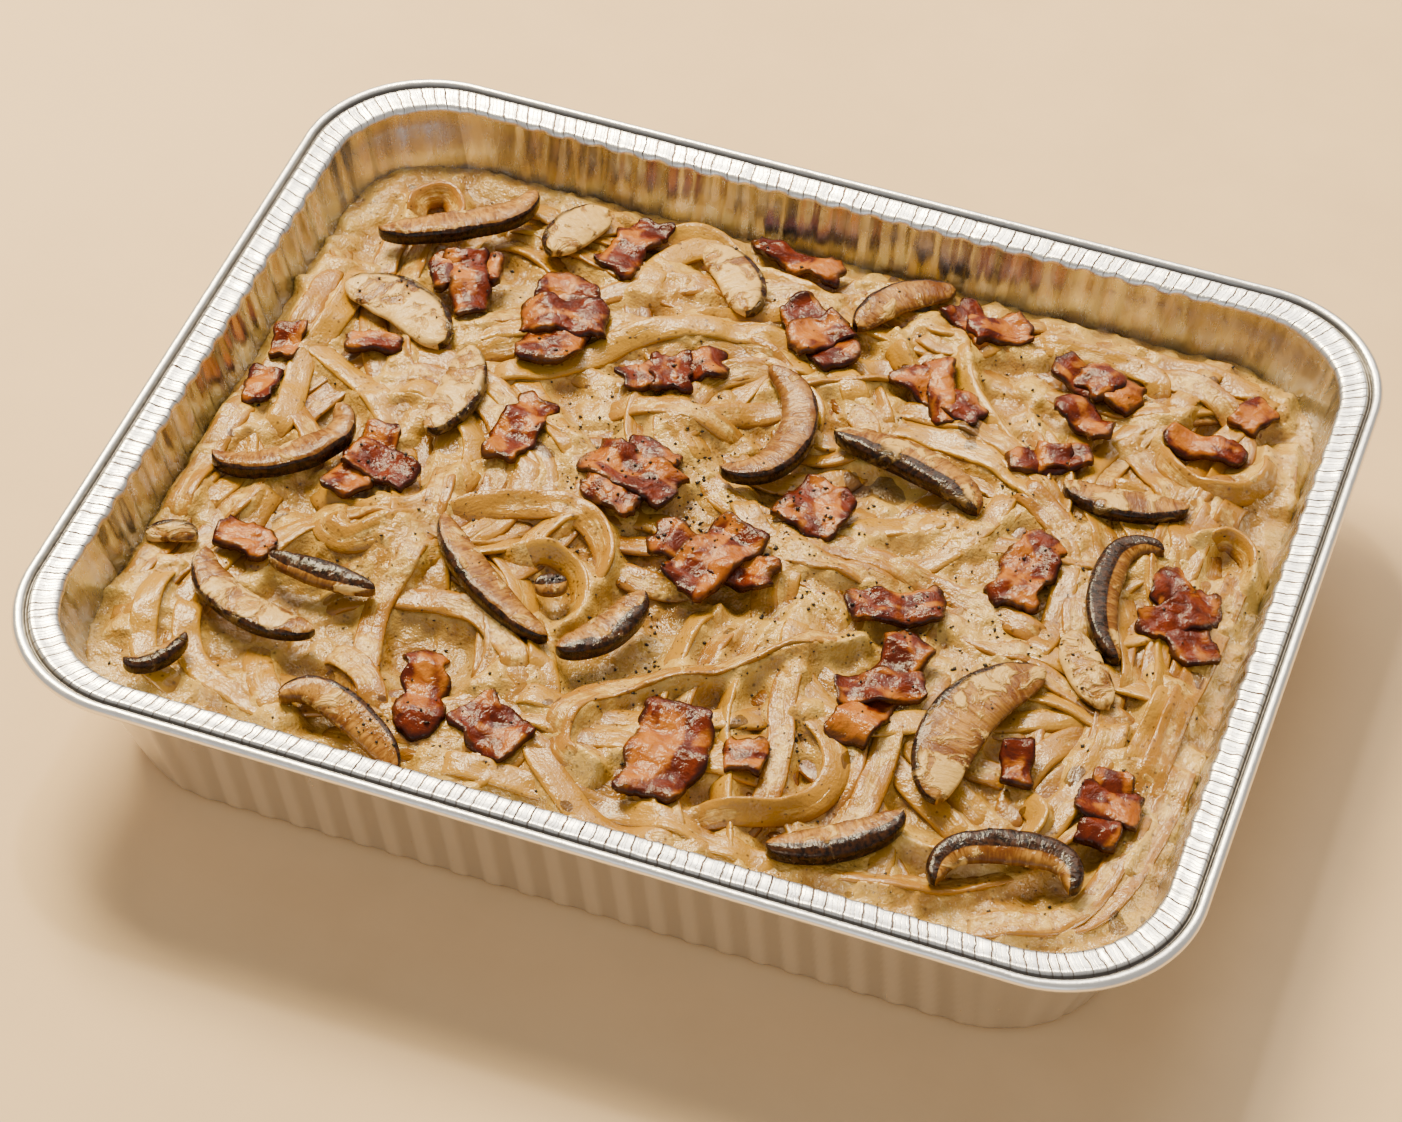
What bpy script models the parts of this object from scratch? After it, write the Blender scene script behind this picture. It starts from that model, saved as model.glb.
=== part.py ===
"""A half-size foil tray filled with fettuccine in cream sauce, topped with mushroom slices and bacon.

The tray stands on its flat base at z = 0, its long sides along X, centred on the origin.
All sizes are in metres.
"""

import math
import random

import bmesh
import bpy
import numpy as np
from mathutils import Matrix, Vector
from mathutils.bvhtree import BVHTree

MM = 0.001

# The foil tray
RIM_LONG = 324 * MM
RIM_SHORT = 264 * MM
RIM_CORNER = 39 * MM
TRAY_HEIGHT = 56 * MM
BASE_INSET = 22.5 * MM
BASE_CORNER = 34 * MM
FOIL = 0.8 * MM
RIM_WIDTH = 10.5 * MM
FLANGE_CORNER = 32 * MM
FLANGE_DROP = 0.9 * MM
BEAD = 3.2 * MM
BASE_ROUND = 2.5 * MM
FLUTE_PITCH = 9.3 * MM
FLUTE_DEPTH = 0.8 * MM
CORNER_STEPS = 8
PLAIN_LONG_STEPS = 6
PLAIN_SHORT_STEPS = 5

# The bound mass of pasta and sauce that everything lies on
GAP = 0.3 * MM
EDGE_DROP = 20 * MM
CROWN_DROP = 13.5 * MM
CROWN_REACH = 20 * MM
SWELL = 0.9 * MM
CORE_INSETS = [0, 7, 16, 28, 42, 58, 76, 96]
CORE_LONG_STEPS = 9
CORE_SHORT_STEPS = 7
CORE_CORNER_STEPS = 5

# The fettuccine ribbons
RIBBON_WIDTH = 8.2 * MM
RIBBON_THICK = 2.0 * MM
RING_STEP = 8 * MM
SHORTEST_RUN = 15 * MM
RIBBON_SINK = 0.4 * MM
RIBBON_CEILING = TRAY_HEIGHT - 7 * MM
WALL_KEEP = 6.5 * MM
TOPPING_KEEP = 1.6 * MM
FILLER_BUNDLES = 28
FILLER_STEP = 13
LANE = 9.5
CELL = 1.6 * MM

# The toppings
BACON_THICK = 2.2 * MM
BACON_WAVE = 1.2 * MM
BACON_CURL = 0.5
BACON_WAVE_LENGTH = 17 * MM
BACON_INNER_RING = 0.55
MUSHROOM_STEPS = 8
SETTLE_CELL = 0.8 * MM
SEED = 11

# Each ribbon's route over the surface: (x, y) points in millimetres and its roll in degrees.
# A ribbon with no roll lies flat, and one with a large roll stands on its edge.
RIBBONS = [
    ([(-139, 62), (-137, 35), (-139, 5), (-141, -25), (-140, -55)], 8),
    ([(-131, 66), (-129, 40), (-131, 18), (-127, -2), (-130, -14)], -8),
    ([(-134, -64), (-133, -82), (-126, -98), (-110, -106)], 10),
    ([(-124, -72), (-120, -86), (-112, -96), (-98, -102), (-82, -106)], -6),
    ([(138, 88), (143, 60), (144, 25), (143, -20), (141, -60), (134, -92), (112, -106)], 8),
    ([(133, -12), (131, -35), (130, -50)], -8),
    ([(121, -26), (122, -45), (112, -78), (104, -84)], 6),
    ([(140, 40), (138, 8), (136, -30), (135, -70), (126, -98), (98, -108)], -6),
    ([(-44, -106), (-22, -104), (6, -103), (36, -106), (60, -108)], 4),
    ([(-40, -76), (-24, -84), (-12, -98), (6, -110), (34, -112)], -6),
    ([(-78, -2), (-74, -20), (-73, -42), (-75, -62), (-70, -82), (-62, -98)], 6),
    ([(-86, -78), (-76, -80), (-66, -88), (-60, -100)], -4),
    ([(-98, -78), (-98, -88), (-92, -98), (-82, -106)], 14),
    ([(-82, 30), (-62, 42), (-46, 58), (-28, 68), (-8, 71), (14, 66), (24, 54)], 5),
    ([(-50, 29), (-30, 33), (-8, 33), (-2, 30)], -5),
    ([(18, 0), (36, 2), (58, 0), (80, -4), (98, -10)], 6),
    ([(14, -6), (36, -6), (60, -8), (84, -16), (100, -16)], -6),
    ([(36, -40), (38, -56), (42, -70), (44, -88), (40, -104)], 10),
    ([(70, 42), (84, 34), (97, 22), (101, 4), (106, -10)], 6),
    ([(96, 72), (108, 60), (118, 46), (124, 30), (128, 16)], -6),
    ([(54, 99), (70, 99), (88, 100), (98, 97), (101, 88)], 8),
    ([(-50, 76), (-48, 94), (-38, 106), (-24, 108)], 10),
    ([(62, 30), (54, 20), (40, 14), (36, 4)], 12),
    ([(-60, 96), (-50, 105), (-38, 108), (-28, 100)], 40),
    ([(-124, 84), (-126, 94), (-120, 100), (-114, 92), (-116, 82)], 55),
    ([(-100, -32), (-98, -42), (-88, -44), (-78, -34), (-64, -22), (-46, -13), (-32, -14), (-24, -24), (-25, -36)], 38),
    ([(-46, -34), (-38, -29), (-29, -32), (-25, -42), (-28, -52)], 50),
    ([(50, -26), (36, -36), (22, -48), (6, -58), (-8, -68), (-14, -80), (-11, -92), (0, -97)], 34),
    ([(26, -101), (40, -96), (54, -88), (59, -76), (54, -64), (44, -56)], 36),
    ([(104, 74), (112, 62), (122, 58), (132, 60), (138, 70), (136, 82)], 52),
    ([(127, 36), (133, 42), (140, 38), (142, 28)], 52),
    ([(104, -62), (112, -70), (106, -82), (94, -86), (80, -84)], 34),
]

# Each mushroom slice: centre, turn of its middle, spine length, depth of its band, bend of the spine and the
# curls at its two ends, in millimetres and degrees. A positive bend curves the spine anticlockwise.
MUSHROOMS = [
    (-109, 87, 36, 52, 11, 45, 0, 40, 5),
    (-112, 46, -24, 41, 17, -75, 0, 0, 4),
    (-77, 94, 70, 26, 14, -40, 0, 0, 4),
    (-84, 19, 92, 36, 13, 50, 0, 0, 4),
    (-120, -16, 42, 50, 10, 85, 20, 70, 5),
    (-27, 91, -50, 33, 14, -60, 0, 0, 4),
    (21, 99, 52, 36, 11, -60, 0, 0, 4),
    (6, 38, 92, 58, 11, 112, 40, 20, 5),
    (44, 37, -14, 50, 12, -30, 0, 25, 5),
    (103, 44, 8, 36, 11, 50, 0, 0, 4),
    (109, 10, -84, 54, 9, 60, 90, 10, 5),
    (-49, -46, -37, 54, 10, 25, 10, 10, 5),
    (-14, -49, 62, 32, 11, 55, 0, 0, 5),
    (-33, -41, 30, 9, 7, 20, 0, 0, 4),
    (-107, -73, -22, 48, 11, 70, 20, 0, 4),
    (-92, -59, -4, 32, 8, 10, 0, 0, 5),
    (-122, -99, 50, 20, 6, 80, 20, 0, 4),
    (-66, -102, -24, 44, 10, -40, 75, 0, 5),
    (88, -49, -105, 58, 17, 75, 0, 0, 4),
    (110, -18, -52, 27, 11, 25, 0, 0, 4),
    (110, -89, 16, 50, 10, -60, 70, 85, 5),
    (-137, -57, 12, 15, 7, -60, 0, 0, 4),
    (66, -95, 33, 38, 11, 35, 0, 20, 5),
]

# Each bacon piece: its centre, then one or two crossing strips, each with its reach back and forward from the
# centre, its width and its turn, in millimetres and degrees.
BACON = [
    (-100, 67, (11, 10, 13, 23), (7, 19, 11, -62)),
    (-67, 57, (19, 18, 18, 97), (12, 13, 14, 15)),
    (-60, 95, (14, 14, 12, 78)),
    (-12, 107, (16, 14, 8, -14)),
    (3, 78, (15, 14, 15, -42), (9, 9, 12, 48)),
    (47, 98, (14, 6, 12, -39), (5, 13, 12, 32)),
    (83, 88, (13, 13, 12, -14), (5, 8, 11, 60)),
    (84, 72, (10, 9, 9, -28)),
    (128, 92, (7, 7, 10, 66)),
    (118, 75, (12, 12, 9, 4)),
    (80, 53, (13, 11, 9, 28), (5, 5, 10, 104)),
    (-31, 48, (15, 17, 11, 36), (8, 6, 12, 110)),
    (-114, 30, (8, 8, 8, 15)),
    (-138, 23.5, (7, 7, 10, 98)),
    (-138, 5, (8, 8, 8, 100)),
    (-98, -14, (16, 14, 12, 84), (5, 16, 12, -8)),
    (-63, 12, (14, 14, 12, 84)),
    (-27, 7, (16, 14, 18, 72), (15, 14, 15, -14)),
    (25, 13, (11, 9, 18, 76)),
    (4, -16, (18, 18, 13, -6), (14, 15, 16, 68)),
    (85, 12, (15, 14, 15, 82)),
    (56, -15, (13, 13, 12, 22)),
    (62, -44, (21, 20, 13, 80), (13, 11, 11, 24)),
    (128, 10, (18, 17, 11, -58), (12, 13, 12, 48)),
    (128, -60, (14, 13, 11, 94), (9, 9, 12, 4)),
    (16, -83, (17, 16, 20, 93)),
    (35, -78, (6, 6, 10, 10)),
    (-51, -87, (14, 14, 12, -76)),
    (-31, -91, (11, 12, 15, -28)),
    (-117, -52, (9, 9, 10, -10)),
    (43, 68, (15, 15, 11, -22), (13, 12, 8, -70)),
    (102, -56, (6, 6, 8, -75)),
]

COLOURS = {
    "foil": ((0.86, 0.85, 0.83), 0.28, 1.0),
    "pasta": ((0.72, 0.55, 0.30), 0.38, 0.0),
    "mushroom": ((0.33, 0.20, 0.11), 0.35, 0.0),
    "bacon": ((0.33, 0.07, 0.03), 0.30, 0.0),
}


# Outlines


def rounded_outline(half_x, half_y, radius, long_steps, short_steps, corner_steps):
    """Points round a rectangle with round corners, anticlockwise from the middle of its right side."""
    points = []
    sides = [(1, -1, short_steps), (1, 1, long_steps), (-1, 1, short_steps), (-1, -1, long_steps)]
    for quarter, (sign_x, sign_y, steps) in enumerate(sides):
        next_x, next_y, _ = sides[(quarter + 1) % 4]
        turn = quarter * math.pi / 2
        start = Vector((sign_x * (half_x - radius), sign_y * (half_y - radius)))
        end = Vector((next_x * (half_x - radius), next_y * (half_y - radius)))
        out = Vector((math.cos(turn), math.sin(turn))) * radius
        for step in range(steps):
            points.append(start.lerp(end, step / steps) + out)
        for step in range(corner_steps):
            angle = turn + step / corner_steps * math.pi / 2
            points.append(end + Vector((math.cos(angle), math.sin(angle))) * radius)
    return points


def corner_radius(inset):
    """The corner radius of the tray at a distance in from its outer edge: wide again towards the base."""
    if inset < RIM_WIDTH:
        return RIM_CORNER + (FLANGE_CORNER - RIM_CORNER) * inset / RIM_WIDTH
    return FLANGE_CORNER + (BASE_CORNER - FLANGE_CORNER) * (inset - RIM_WIDTH) / (BASE_INSET - RIM_WIDTH)


def wall_inset(height):
    """How far the inner face of the wall is in from the rim's outer edge, at a height."""
    top = TRAY_HEIGHT - FLANGE_DROP
    return RIM_WIDTH + (BASE_INSET + FOIL - RIM_WIDTH) * (top - height) / (top - BASE_ROUND)


def tray_outline(inset, steps):
    return rounded_outline(
        RIM_LONG / 2 - inset, RIM_SHORT / 2 - inset, corner_radius(inset), *steps
    )


def distance_inside(x, y, inset):
    """How far a point is inside the tray's outline at an inset. It is negative outside."""
    radius = corner_radius(inset)
    over_x = np.abs(x) - (RIM_LONG / 2 - inset - radius)
    over_y = np.abs(y) - (RIM_SHORT / 2 - inset - radius)
    outside = np.hypot(np.maximum(over_x, 0), np.maximum(over_y, 0))
    return radius - outside - np.minimum(np.maximum(over_x, over_y), 0)


# Meshes


def material(name):
    colour, roughness, metallic = COLOURS[name]
    made = bpy.data.materials.get(name) or bpy.data.materials.new(name)
    made.use_nodes = True
    shader = made.node_tree.nodes["Principled BSDF"]
    shader.inputs["Base Color"].default_value = (*colour, 1)
    shader.inputs["Roughness"].default_value = roughness
    shader.inputs["Metallic"].default_value = metallic
    return made


def add_object(name, mesh_edit, finish):
    """An object whose mesh is what the bmesh holds."""
    bmesh.ops.triangulate(mesh_edit, faces=mesh_edit.faces)
    bmesh.ops.recalc_face_normals(mesh_edit, faces=mesh_edit.faces)
    mesh = bpy.data.meshes.new(name)
    mesh_edit.to_mesh(mesh)
    mesh_edit.free()
    made = bpy.data.objects.new(name, mesh)
    bpy.context.scene.collection.objects.link(made)
    mesh.materials.append(material(finish))
    return made


def add_loop(mesh_edit, points, height):
    """Vertices of a loop at one height, or at a height that is a function of x and y."""
    level = height if callable(height) else lambda x, y: height
    return [mesh_edit.verts.new((p.x, p.y, level(p.x, p.y))) for p in points]


def join_loops(mesh_edit, first, second):
    """Faces between two closed loops that start at the same place, whatever number of points each has."""
    if len(first) == len(second):
        for a, b, c, d in zip(first, second, second[1:] + second[:1], first[1:] + first[:1]):
            mesh_edit.faces.new([a, b, c, d])
        return
    a, b = 0, 0
    while a < len(first) or b < len(second):
        here_a, next_a = first[a % len(first)], first[(a + 1) % len(first)]
        here_b, next_b = second[b % len(second)], second[(b + 1) % len(second)]
        step_first = (next_a.co - here_b.co).length <= (next_b.co - here_a.co).length
        if b == len(second) or (a < len(first) and step_first):
            mesh_edit.faces.new([here_a, here_b, next_a])
            a += 1
        else:
            mesh_edit.faces.new([here_a, here_b, next_b])
            b += 1


# The tray


def flute_steps(length, radius):
    """Half-flute steps along a side, a whole number of flutes."""
    return 2 * round((length - 2 * radius) / FLUTE_PITCH)


def fluted(points, steps, depth):
    """The outline with every other point of its straight sides moved in by the flute's depth."""
    long_steps, short_steps, corner_steps = steps
    moved, index = [], 0
    for side, count in enumerate([short_steps, long_steps, short_steps, long_steps]):
        inward = Vector((math.cos(side * math.pi / 2), math.sin(side * math.pi / 2))) * -depth
        for step in range(count):
            moved.append(points[index + step] + (inward if step % 2 else Vector((0, 0))))
        moved += points[index + count : index + count + corner_steps]
        index += count + corner_steps
    return moved


def foil_tray():
    top = TRAY_HEIGHT
    plain = (PLAIN_LONG_STEPS, PLAIN_SHORT_STEPS, CORNER_STEPS)
    flutes = (flute_steps(RIM_LONG, BASE_CORNER), flute_steps(RIM_SHORT, BASE_CORNER), CORNER_STEPS)
    bead = BEAD / 2
    ridge = BEAD + 1.2 * MM
    # Each level is (inset, height, whether the wall is fluted there), from under the base round to its top face.
    levels = [
        (BASE_INSET + BASE_ROUND, 0, False),
        (BASE_INSET, BASE_ROUND, True),
        (RIM_WIDTH - FOIL, top - FLANGE_DROP - FOIL, True),
        (ridge, top - 0.4 * MM - FOIL, False),
        (BEAD, top - 3.0 * MM, False),
        (bead, top - BEAD, False),
        (0.2 * BEAD, top - 0.8 * BEAD, False),
        (0, top - bead, False),
        (0.2 * BEAD, top - 0.2 * BEAD, False),
        (bead, top, False),
        (0.82 * BEAD, top - 0.2 * BEAD, False),
        (BEAD, top - 2.1 * MM, False),
        (ridge, top - 0.4 * MM, False),
        (RIM_WIDTH, top - FLANGE_DROP, True),
        (BASE_INSET + FOIL, BASE_ROUND, True),
        (BASE_INSET + BASE_ROUND, FOIL, False),
    ]
    mesh_edit = bmesh.new()
    loops = []
    for inset, height, is_fluted in levels:
        steps = flutes if is_fluted else plain
        points = tray_outline(inset, steps)
        if is_fluted:
            points = fluted(points, steps, FLUTE_DEPTH)
        loops.append(add_loop(mesh_edit, points, height))
    for first, second in zip(loops, loops[1:]):
        join_loops(mesh_edit, first, second)
    mesh_edit.faces.new(loops[0])
    mesh_edit.faces.new(loops[-1])
    return add_object("foil_tray", mesh_edit, "foil")


# The bound mass of pasta and sauce


def core_height(x, y):
    """The height of the bare mass: low at the walls, crowned in the middle, with slow swells."""
    inside = np.maximum(distance_inside(x, y, RIM_WIDTH), 0)
    rise = 1 - np.exp(-inside / CROWN_REACH)
    swell = np.sin(x / MM / 21 + 0.8) * np.cos(y / MM / 17 - 0.4) + 0.6 * np.sin((x + 1.7 * y) / MM / 13)
    return TRAY_HEIGHT - EDGE_DROP + (EDGE_DROP - CROWN_DROP) * rise + SWELL * swell * rise


def core_mesh():
    steps = (CORE_LONG_STEPS, CORE_SHORT_STEPS, CORE_CORNER_STEPS)
    clear = FLUTE_DEPTH + GAP
    edge_height = TRAY_HEIGHT - EDGE_DROP
    mesh_edit = bmesh.new()
    loops = [
        add_loop(mesh_edit, tray_outline(wall_inset(FOIL) + BASE_ROUND + clear, steps), FOIL + GAP),
        add_loop(mesh_edit, tray_outline(wall_inset(BASE_ROUND) + clear, steps), BASE_ROUND + 2 * GAP),
    ]
    half_x = RIM_LONG / 2 - wall_inset(edge_height) - clear
    half_y = RIM_SHORT / 2 - wall_inset(edge_height) - clear
    for inset in CORE_INSETS:
        shrink = inset * MM
        radius = max(corner_radius(wall_inset(edge_height)) - shrink * 0.3, 12 * MM)
        points = rounded_outline(half_x - shrink, half_y - shrink, radius, *steps)
        loops.append(add_loop(mesh_edit, points, core_height))
    for first, second in zip(loops, loops[1:]):
        join_loops(mesh_edit, first, second)
    mesh_edit.faces.new(loops[0])
    middle = mesh_edit.verts.new((0, 0, core_height(0, 0)))
    last = loops[-1]
    for a, b in zip(last, last[1:] + last[:1]):
        mesh_edit.faces.new([a, b, middle])
    return add_object("fettuccine_in_cream_sauce", mesh_edit, "pasta")


# What the toppings lie on


class Ground:
    """The faces that a topping may rest on: the bare mass, and the toppings placed before it."""

    def __init__(self, core):
        self.trees = [tree_of(core)]

    def height(self, x, y):
        found = [tree.ray_cast((x, y, 1), (0, 0, -1))[0] for tree in self.trees]
        return max((hit.z for hit in found if hit), default=core_height(x, y))

    def meets(self, piece):
        own = tree_of(piece)
        return any(own.overlap(tree) for tree in self.trees)

    def add(self, piece):
        self.trees.append(tree_of(piece))


def tree_of(piece):
    return BVHTree.FromPolygons(
        [v.co[:] for v in piece.data.vertices], [p.vertices[:] for p in piece.data.polygons]
    )


def settle(piece, ground):
    """Moves a piece up or down until its underside is only just clear of the ground."""
    tree = tree_of(piece)
    corners = np.array([v.co for v in piece.data.vertices])
    low, high = corners.min(0), corners.max(0)
    lift = -1.0
    for x in np.arange(low[0], high[0], SETTLE_CELL):
        for y in np.arange(low[1], high[1], SETTLE_CELL):
            hit = tree.ray_cast((x, y, -1), (0, 0, 1))[0]
            if hit:
                lift = max(lift, ground.height(x, y) + 1.3 * GAP - hit.z)
    piece.data.transform(Matrix.Translation((0, 0, lift)))
    while ground.meets(piece):
        piece.data.transform(Matrix.Translation((0, 0, GAP)))
    ground.add(piece)


# Mushroom slices


def mushroom_spine(turn, length, bend, curl_start, curl_end):
    """Points along the middle of a slice, whose ends curl in on themselves, centred on their mean."""
    steps = MUSHROOM_STEPS
    heading = math.radians(turn - bend / 2) - math.copysign(math.radians(curl_start), bend)
    point, points = Vector((0, 0)), []
    for step in range(steps):
        points.append((point.copy(), heading))
        turned = math.radians(bend) / (steps - 1)
        if step < 2:
            turned += math.copysign(math.radians(curl_start) / 2, bend)
        if step >= steps - 3:
            turned += math.copysign(math.radians(curl_end) / 2, bend)
        heading += turned
        point = point + Vector((math.cos(heading), math.sin(heading))) * length / (steps - 1)
    middle = sum((p for p, _ in points), Vector((0, 0))) / steps
    return [(p - middle, angle) for p, angle in points]


def mushroom_slice(name, spec, ground):
    x, y, turn, length, depth, bend, curl_start, curl_end, thick = spec
    spine = mushroom_spine(turn, length * MM, bend, curl_start, curl_end)
    mesh_edit = bmesh.new()
    rows = []
    for step, (point, heading) in enumerate(spine):
        along = step / (len(spine) - 1)
        full = 0.5 + 0.5 * math.sin(math.pi * along) ** 0.7
        half = depth * MM / 2 * full
        side = Vector((-math.sin(heading), math.cos(heading)))
        row = []
        for reach in (-half, half):
            spot = Vector((x, y)) * MM + point + side * reach
            low = ground.height(spot.x, spot.y) + GAP
            row.append((spot, low))
        middle = sum(low for _, low in row) / 2
        for spot, low in row[:]:
            rows.append(mesh_edit.verts.new((*spot, (low + middle) / 2)))
            rows.append(mesh_edit.verts.new((*spot, (low + middle) / 2 + thick * MM * (0.75 + 0.25 * full))))
    for start in range(0, len(rows) - 4, 4):
        near, far = rows[start : start + 4], rows[start + 4 : start + 8]
        for a, b in ((0, 1), (1, 3), (3, 2), (2, 0)):
            mesh_edit.faces.new([near[a], near[b], far[b], far[a]])
    for end in (rows[:4], rows[-4:]):
        mesh_edit.faces.new([end[0], end[1], end[3], end[2]])
    piece = add_object(name, mesh_edit, "mushroom")
    settle(piece, ground)
    return piece


# Bacon pieces


def strip_radius(strip, angle):
    """How far a strip's edge is from the piece's centre, at an angle."""
    back, forward, width, turn = strip
    local = angle - math.radians(turn)
    across, along = math.sin(local), math.cos(local)
    end = forward if along > 0 else back
    return min(end / max(abs(along), 1e-6), width / 2 / max(abs(across), 1e-6)) * MM


def bacon_angles(strips):
    """The directions of a piece's corners and of the notches where its strips cross."""
    angles = []
    for strip in strips:
        back, forward, width, turn = strip
        front = math.degrees(math.atan2(width / 2, forward))
        rear = math.degrees(math.atan2(width / 2, back))
        for angle in (front, 180 - rear, 180 + rear, -front, 0, 90, 180, 270):
            direction = math.radians(angle + turn)
            reach = strip_radius(strip, direction)
            if all(reach >= strip_radius(other, direction) - 1e-9 for other in strips):
                angles.append((angle + turn) % 360)
    if len(strips) == 2:
        for degree in range(360):
            first, second = (
                strip_radius(strips[0], math.radians(d)) > strip_radius(strips[1], math.radians(d))
                for d in (degree, degree + 1)
            )
            if first != second:
                angles.append(degree + 0.5)
    angles.sort()
    kept = [angles[0]]
    for angle in angles[1:]:
        if angle - kept[-1] > 9 and angles[0] + 360 - angle > 9:
            kept.append(angle)
    return [math.radians(angle) for angle in kept]


def bacon_piece(name, spec, ground, random_source):
    x, y, *strips = spec
    centre = Vector((x, y)) * MM
    along = math.radians(strips[0][3])
    shift = random_source.uniform(0, 2 * math.pi)
    reach_most = max(max(strip[:2]) for strip in strips) * MM

    def rise(spot):
        """The ripple of the rasher and its turned-up ends, from 0 upwards."""
        local = spot - centre
        run = local.x * math.cos(along) + local.y * math.sin(along)
        ripple = 0.5 + 0.5 * math.sin(2 * math.pi * run / BACON_WAVE_LENGTH + shift)
        return BACON_WAVE * (ripple + BACON_CURL * (local.length / reach_most) ** 2)

    mesh_edit = bmesh.new()

    def pair(spot):
        low = ground.height(spot.x, spot.y) + GAP + rise(spot)
        return mesh_edit.verts.new((*spot, low)), mesh_edit.verts.new((*spot, low + BACON_THICK))

    outer, inner = [], []
    for angle in bacon_angles(strips):
        radius = max(strip_radius(strip, angle) for strip in strips)
        radius *= random_source.uniform(0.92, 1.04)
        ray = Vector((math.cos(angle), math.sin(angle)))
        outer.append(pair(centre + ray * radius))
        inner.append(pair(centre + ray * radius * BACON_INNER_RING))
    low_middle, high_middle = pair(centre)
    for index in range(len(outer)):
        after = (index + 1) % len(outer)
        (low_a, high_a), (low_b, high_b) = outer[index], outer[after]
        (low_c, high_c), (low_d, high_d) = inner[after], inner[index]
        mesh_edit.faces.new([low_a, low_b, high_b, high_a])
        mesh_edit.faces.new([high_a, high_b, high_c, high_d])
        mesh_edit.faces.new([high_d, high_c, high_middle])
        mesh_edit.faces.new([low_b, low_a, low_d, low_c])
        mesh_edit.faces.new([low_c, low_d, low_middle])
    piece = add_object(name, mesh_edit, "bacon")
    settle(piece, ground)
    return piece


# The ribbons


class Surface:
    """A map of the heights reached so far, and of how far each place is from a topping."""

    def __init__(self, toppings):
        half_x, half_y = RIM_LONG / 2, RIM_SHORT / 2
        self.xs = np.arange(-half_x, half_x, CELL)
        self.ys = np.arange(-half_y, half_y, CELL)
        grid_x, grid_y = np.meshgrid(self.xs, self.ys, indexing="ij")
        self.heights = core_height(grid_x, grid_y)
        covered = []
        for piece in toppings:
            tree = tree_of(piece)
            corners = np.array([v.co for v in piece.data.vertices])
            low, high = corners.min(0), corners.max(0)
            for x in self.xs[(self.xs >= low[0] - CELL) & (self.xs <= high[0] + CELL)]:
                for y in self.ys[(self.ys >= low[1] - CELL) & (self.ys <= high[1] + CELL)]:
                    if tree.ray_cast((x, y, 1), (0, 0, -1))[0]:
                        covered.append((x, y))
        places = np.stack([grid_x.ravel(), grid_y.ravel()], 1)
        nearest = np.full(len(places), 1.0)
        for spot in np.array(covered):
            nearest = np.minimum(nearest, np.hypot(*(places - spot).T))
        self.clearance = nearest.reshape(grid_x.shape)

    def cell(self, spot):
        column = int(np.clip(round((spot[0] - self.xs[0]) / CELL), 0, len(self.xs) - 1))
        row = int(np.clip(round((spot[1] - self.ys[0]) / CELL), 0, len(self.ys) - 1))
        return column, row


def smooth_route(points, step):
    """Points an even step apart on a Catmull-Rom curve through the route's own points."""
    p = np.array(points, float) * MM
    p = np.vstack([2 * p[0] - p[1], p, 2 * p[-1] - p[-2]])
    fine = []
    for a, b, c, d in zip(p, p[1:], p[2:], p[3:]):
        for t in np.linspace(0, 1, 16, endpoint=False):
            fine.append(
                0.5 * (2 * b + (c - a) * t + (2 * a - 5 * b + 4 * c - d) * t**2 + (3 * b - a - 3 * c + d) * t**3)
            )
    fine.append(p[-2])
    fine = np.array(fine)
    runs = np.concatenate([[0], np.cumsum(np.hypot(*np.diff(fine, axis=0).T))])
    count = max(3, round(runs[-1] / step) + 1)
    at = np.linspace(0, runs[-1], count)
    return np.stack([np.interp(at, runs, fine[:, 0]), np.interp(at, runs, fine[:, 1])], 1)


def filler_routes(random_source):
    """Bundles of one to three ribbons side by side, which turn slowly as they run, in among the placed ones."""
    routes = []
    for _ in range(FILLER_BUNDLES):
        spot = Vector((random_source.uniform(-125, 125), random_source.uniform(-95, 95)))
        heading = random_source.uniform(0, 2 * math.pi)
        turning = random_source.uniform(-0.3, 0.3)
        steps = random_source.randint(4, 7)
        roll = random_source.uniform(-8, 8)
        for lane in range(random_source.randint(1, 3)):
            points, place, angle = [], spot.copy(), heading
            for _ in range(steps):
                side = Vector((-math.sin(angle), math.cos(angle)))
                points.append(tuple(place + side * LANE * lane))
                place = place + Vector((math.cos(angle), math.sin(angle))) * FILLER_STEP
                angle += turning
            routes.append((points, roll))
    return routes


def stretches(shown):
    """The first and last index of each unbroken stretch of true values."""
    found, start = [], None
    for index, value in enumerate([*shown, False]):
        if value and start is None:
            start = index
        if not value and start is not None:
            found.append((start, index - 1))
            start = None
    return found


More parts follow.
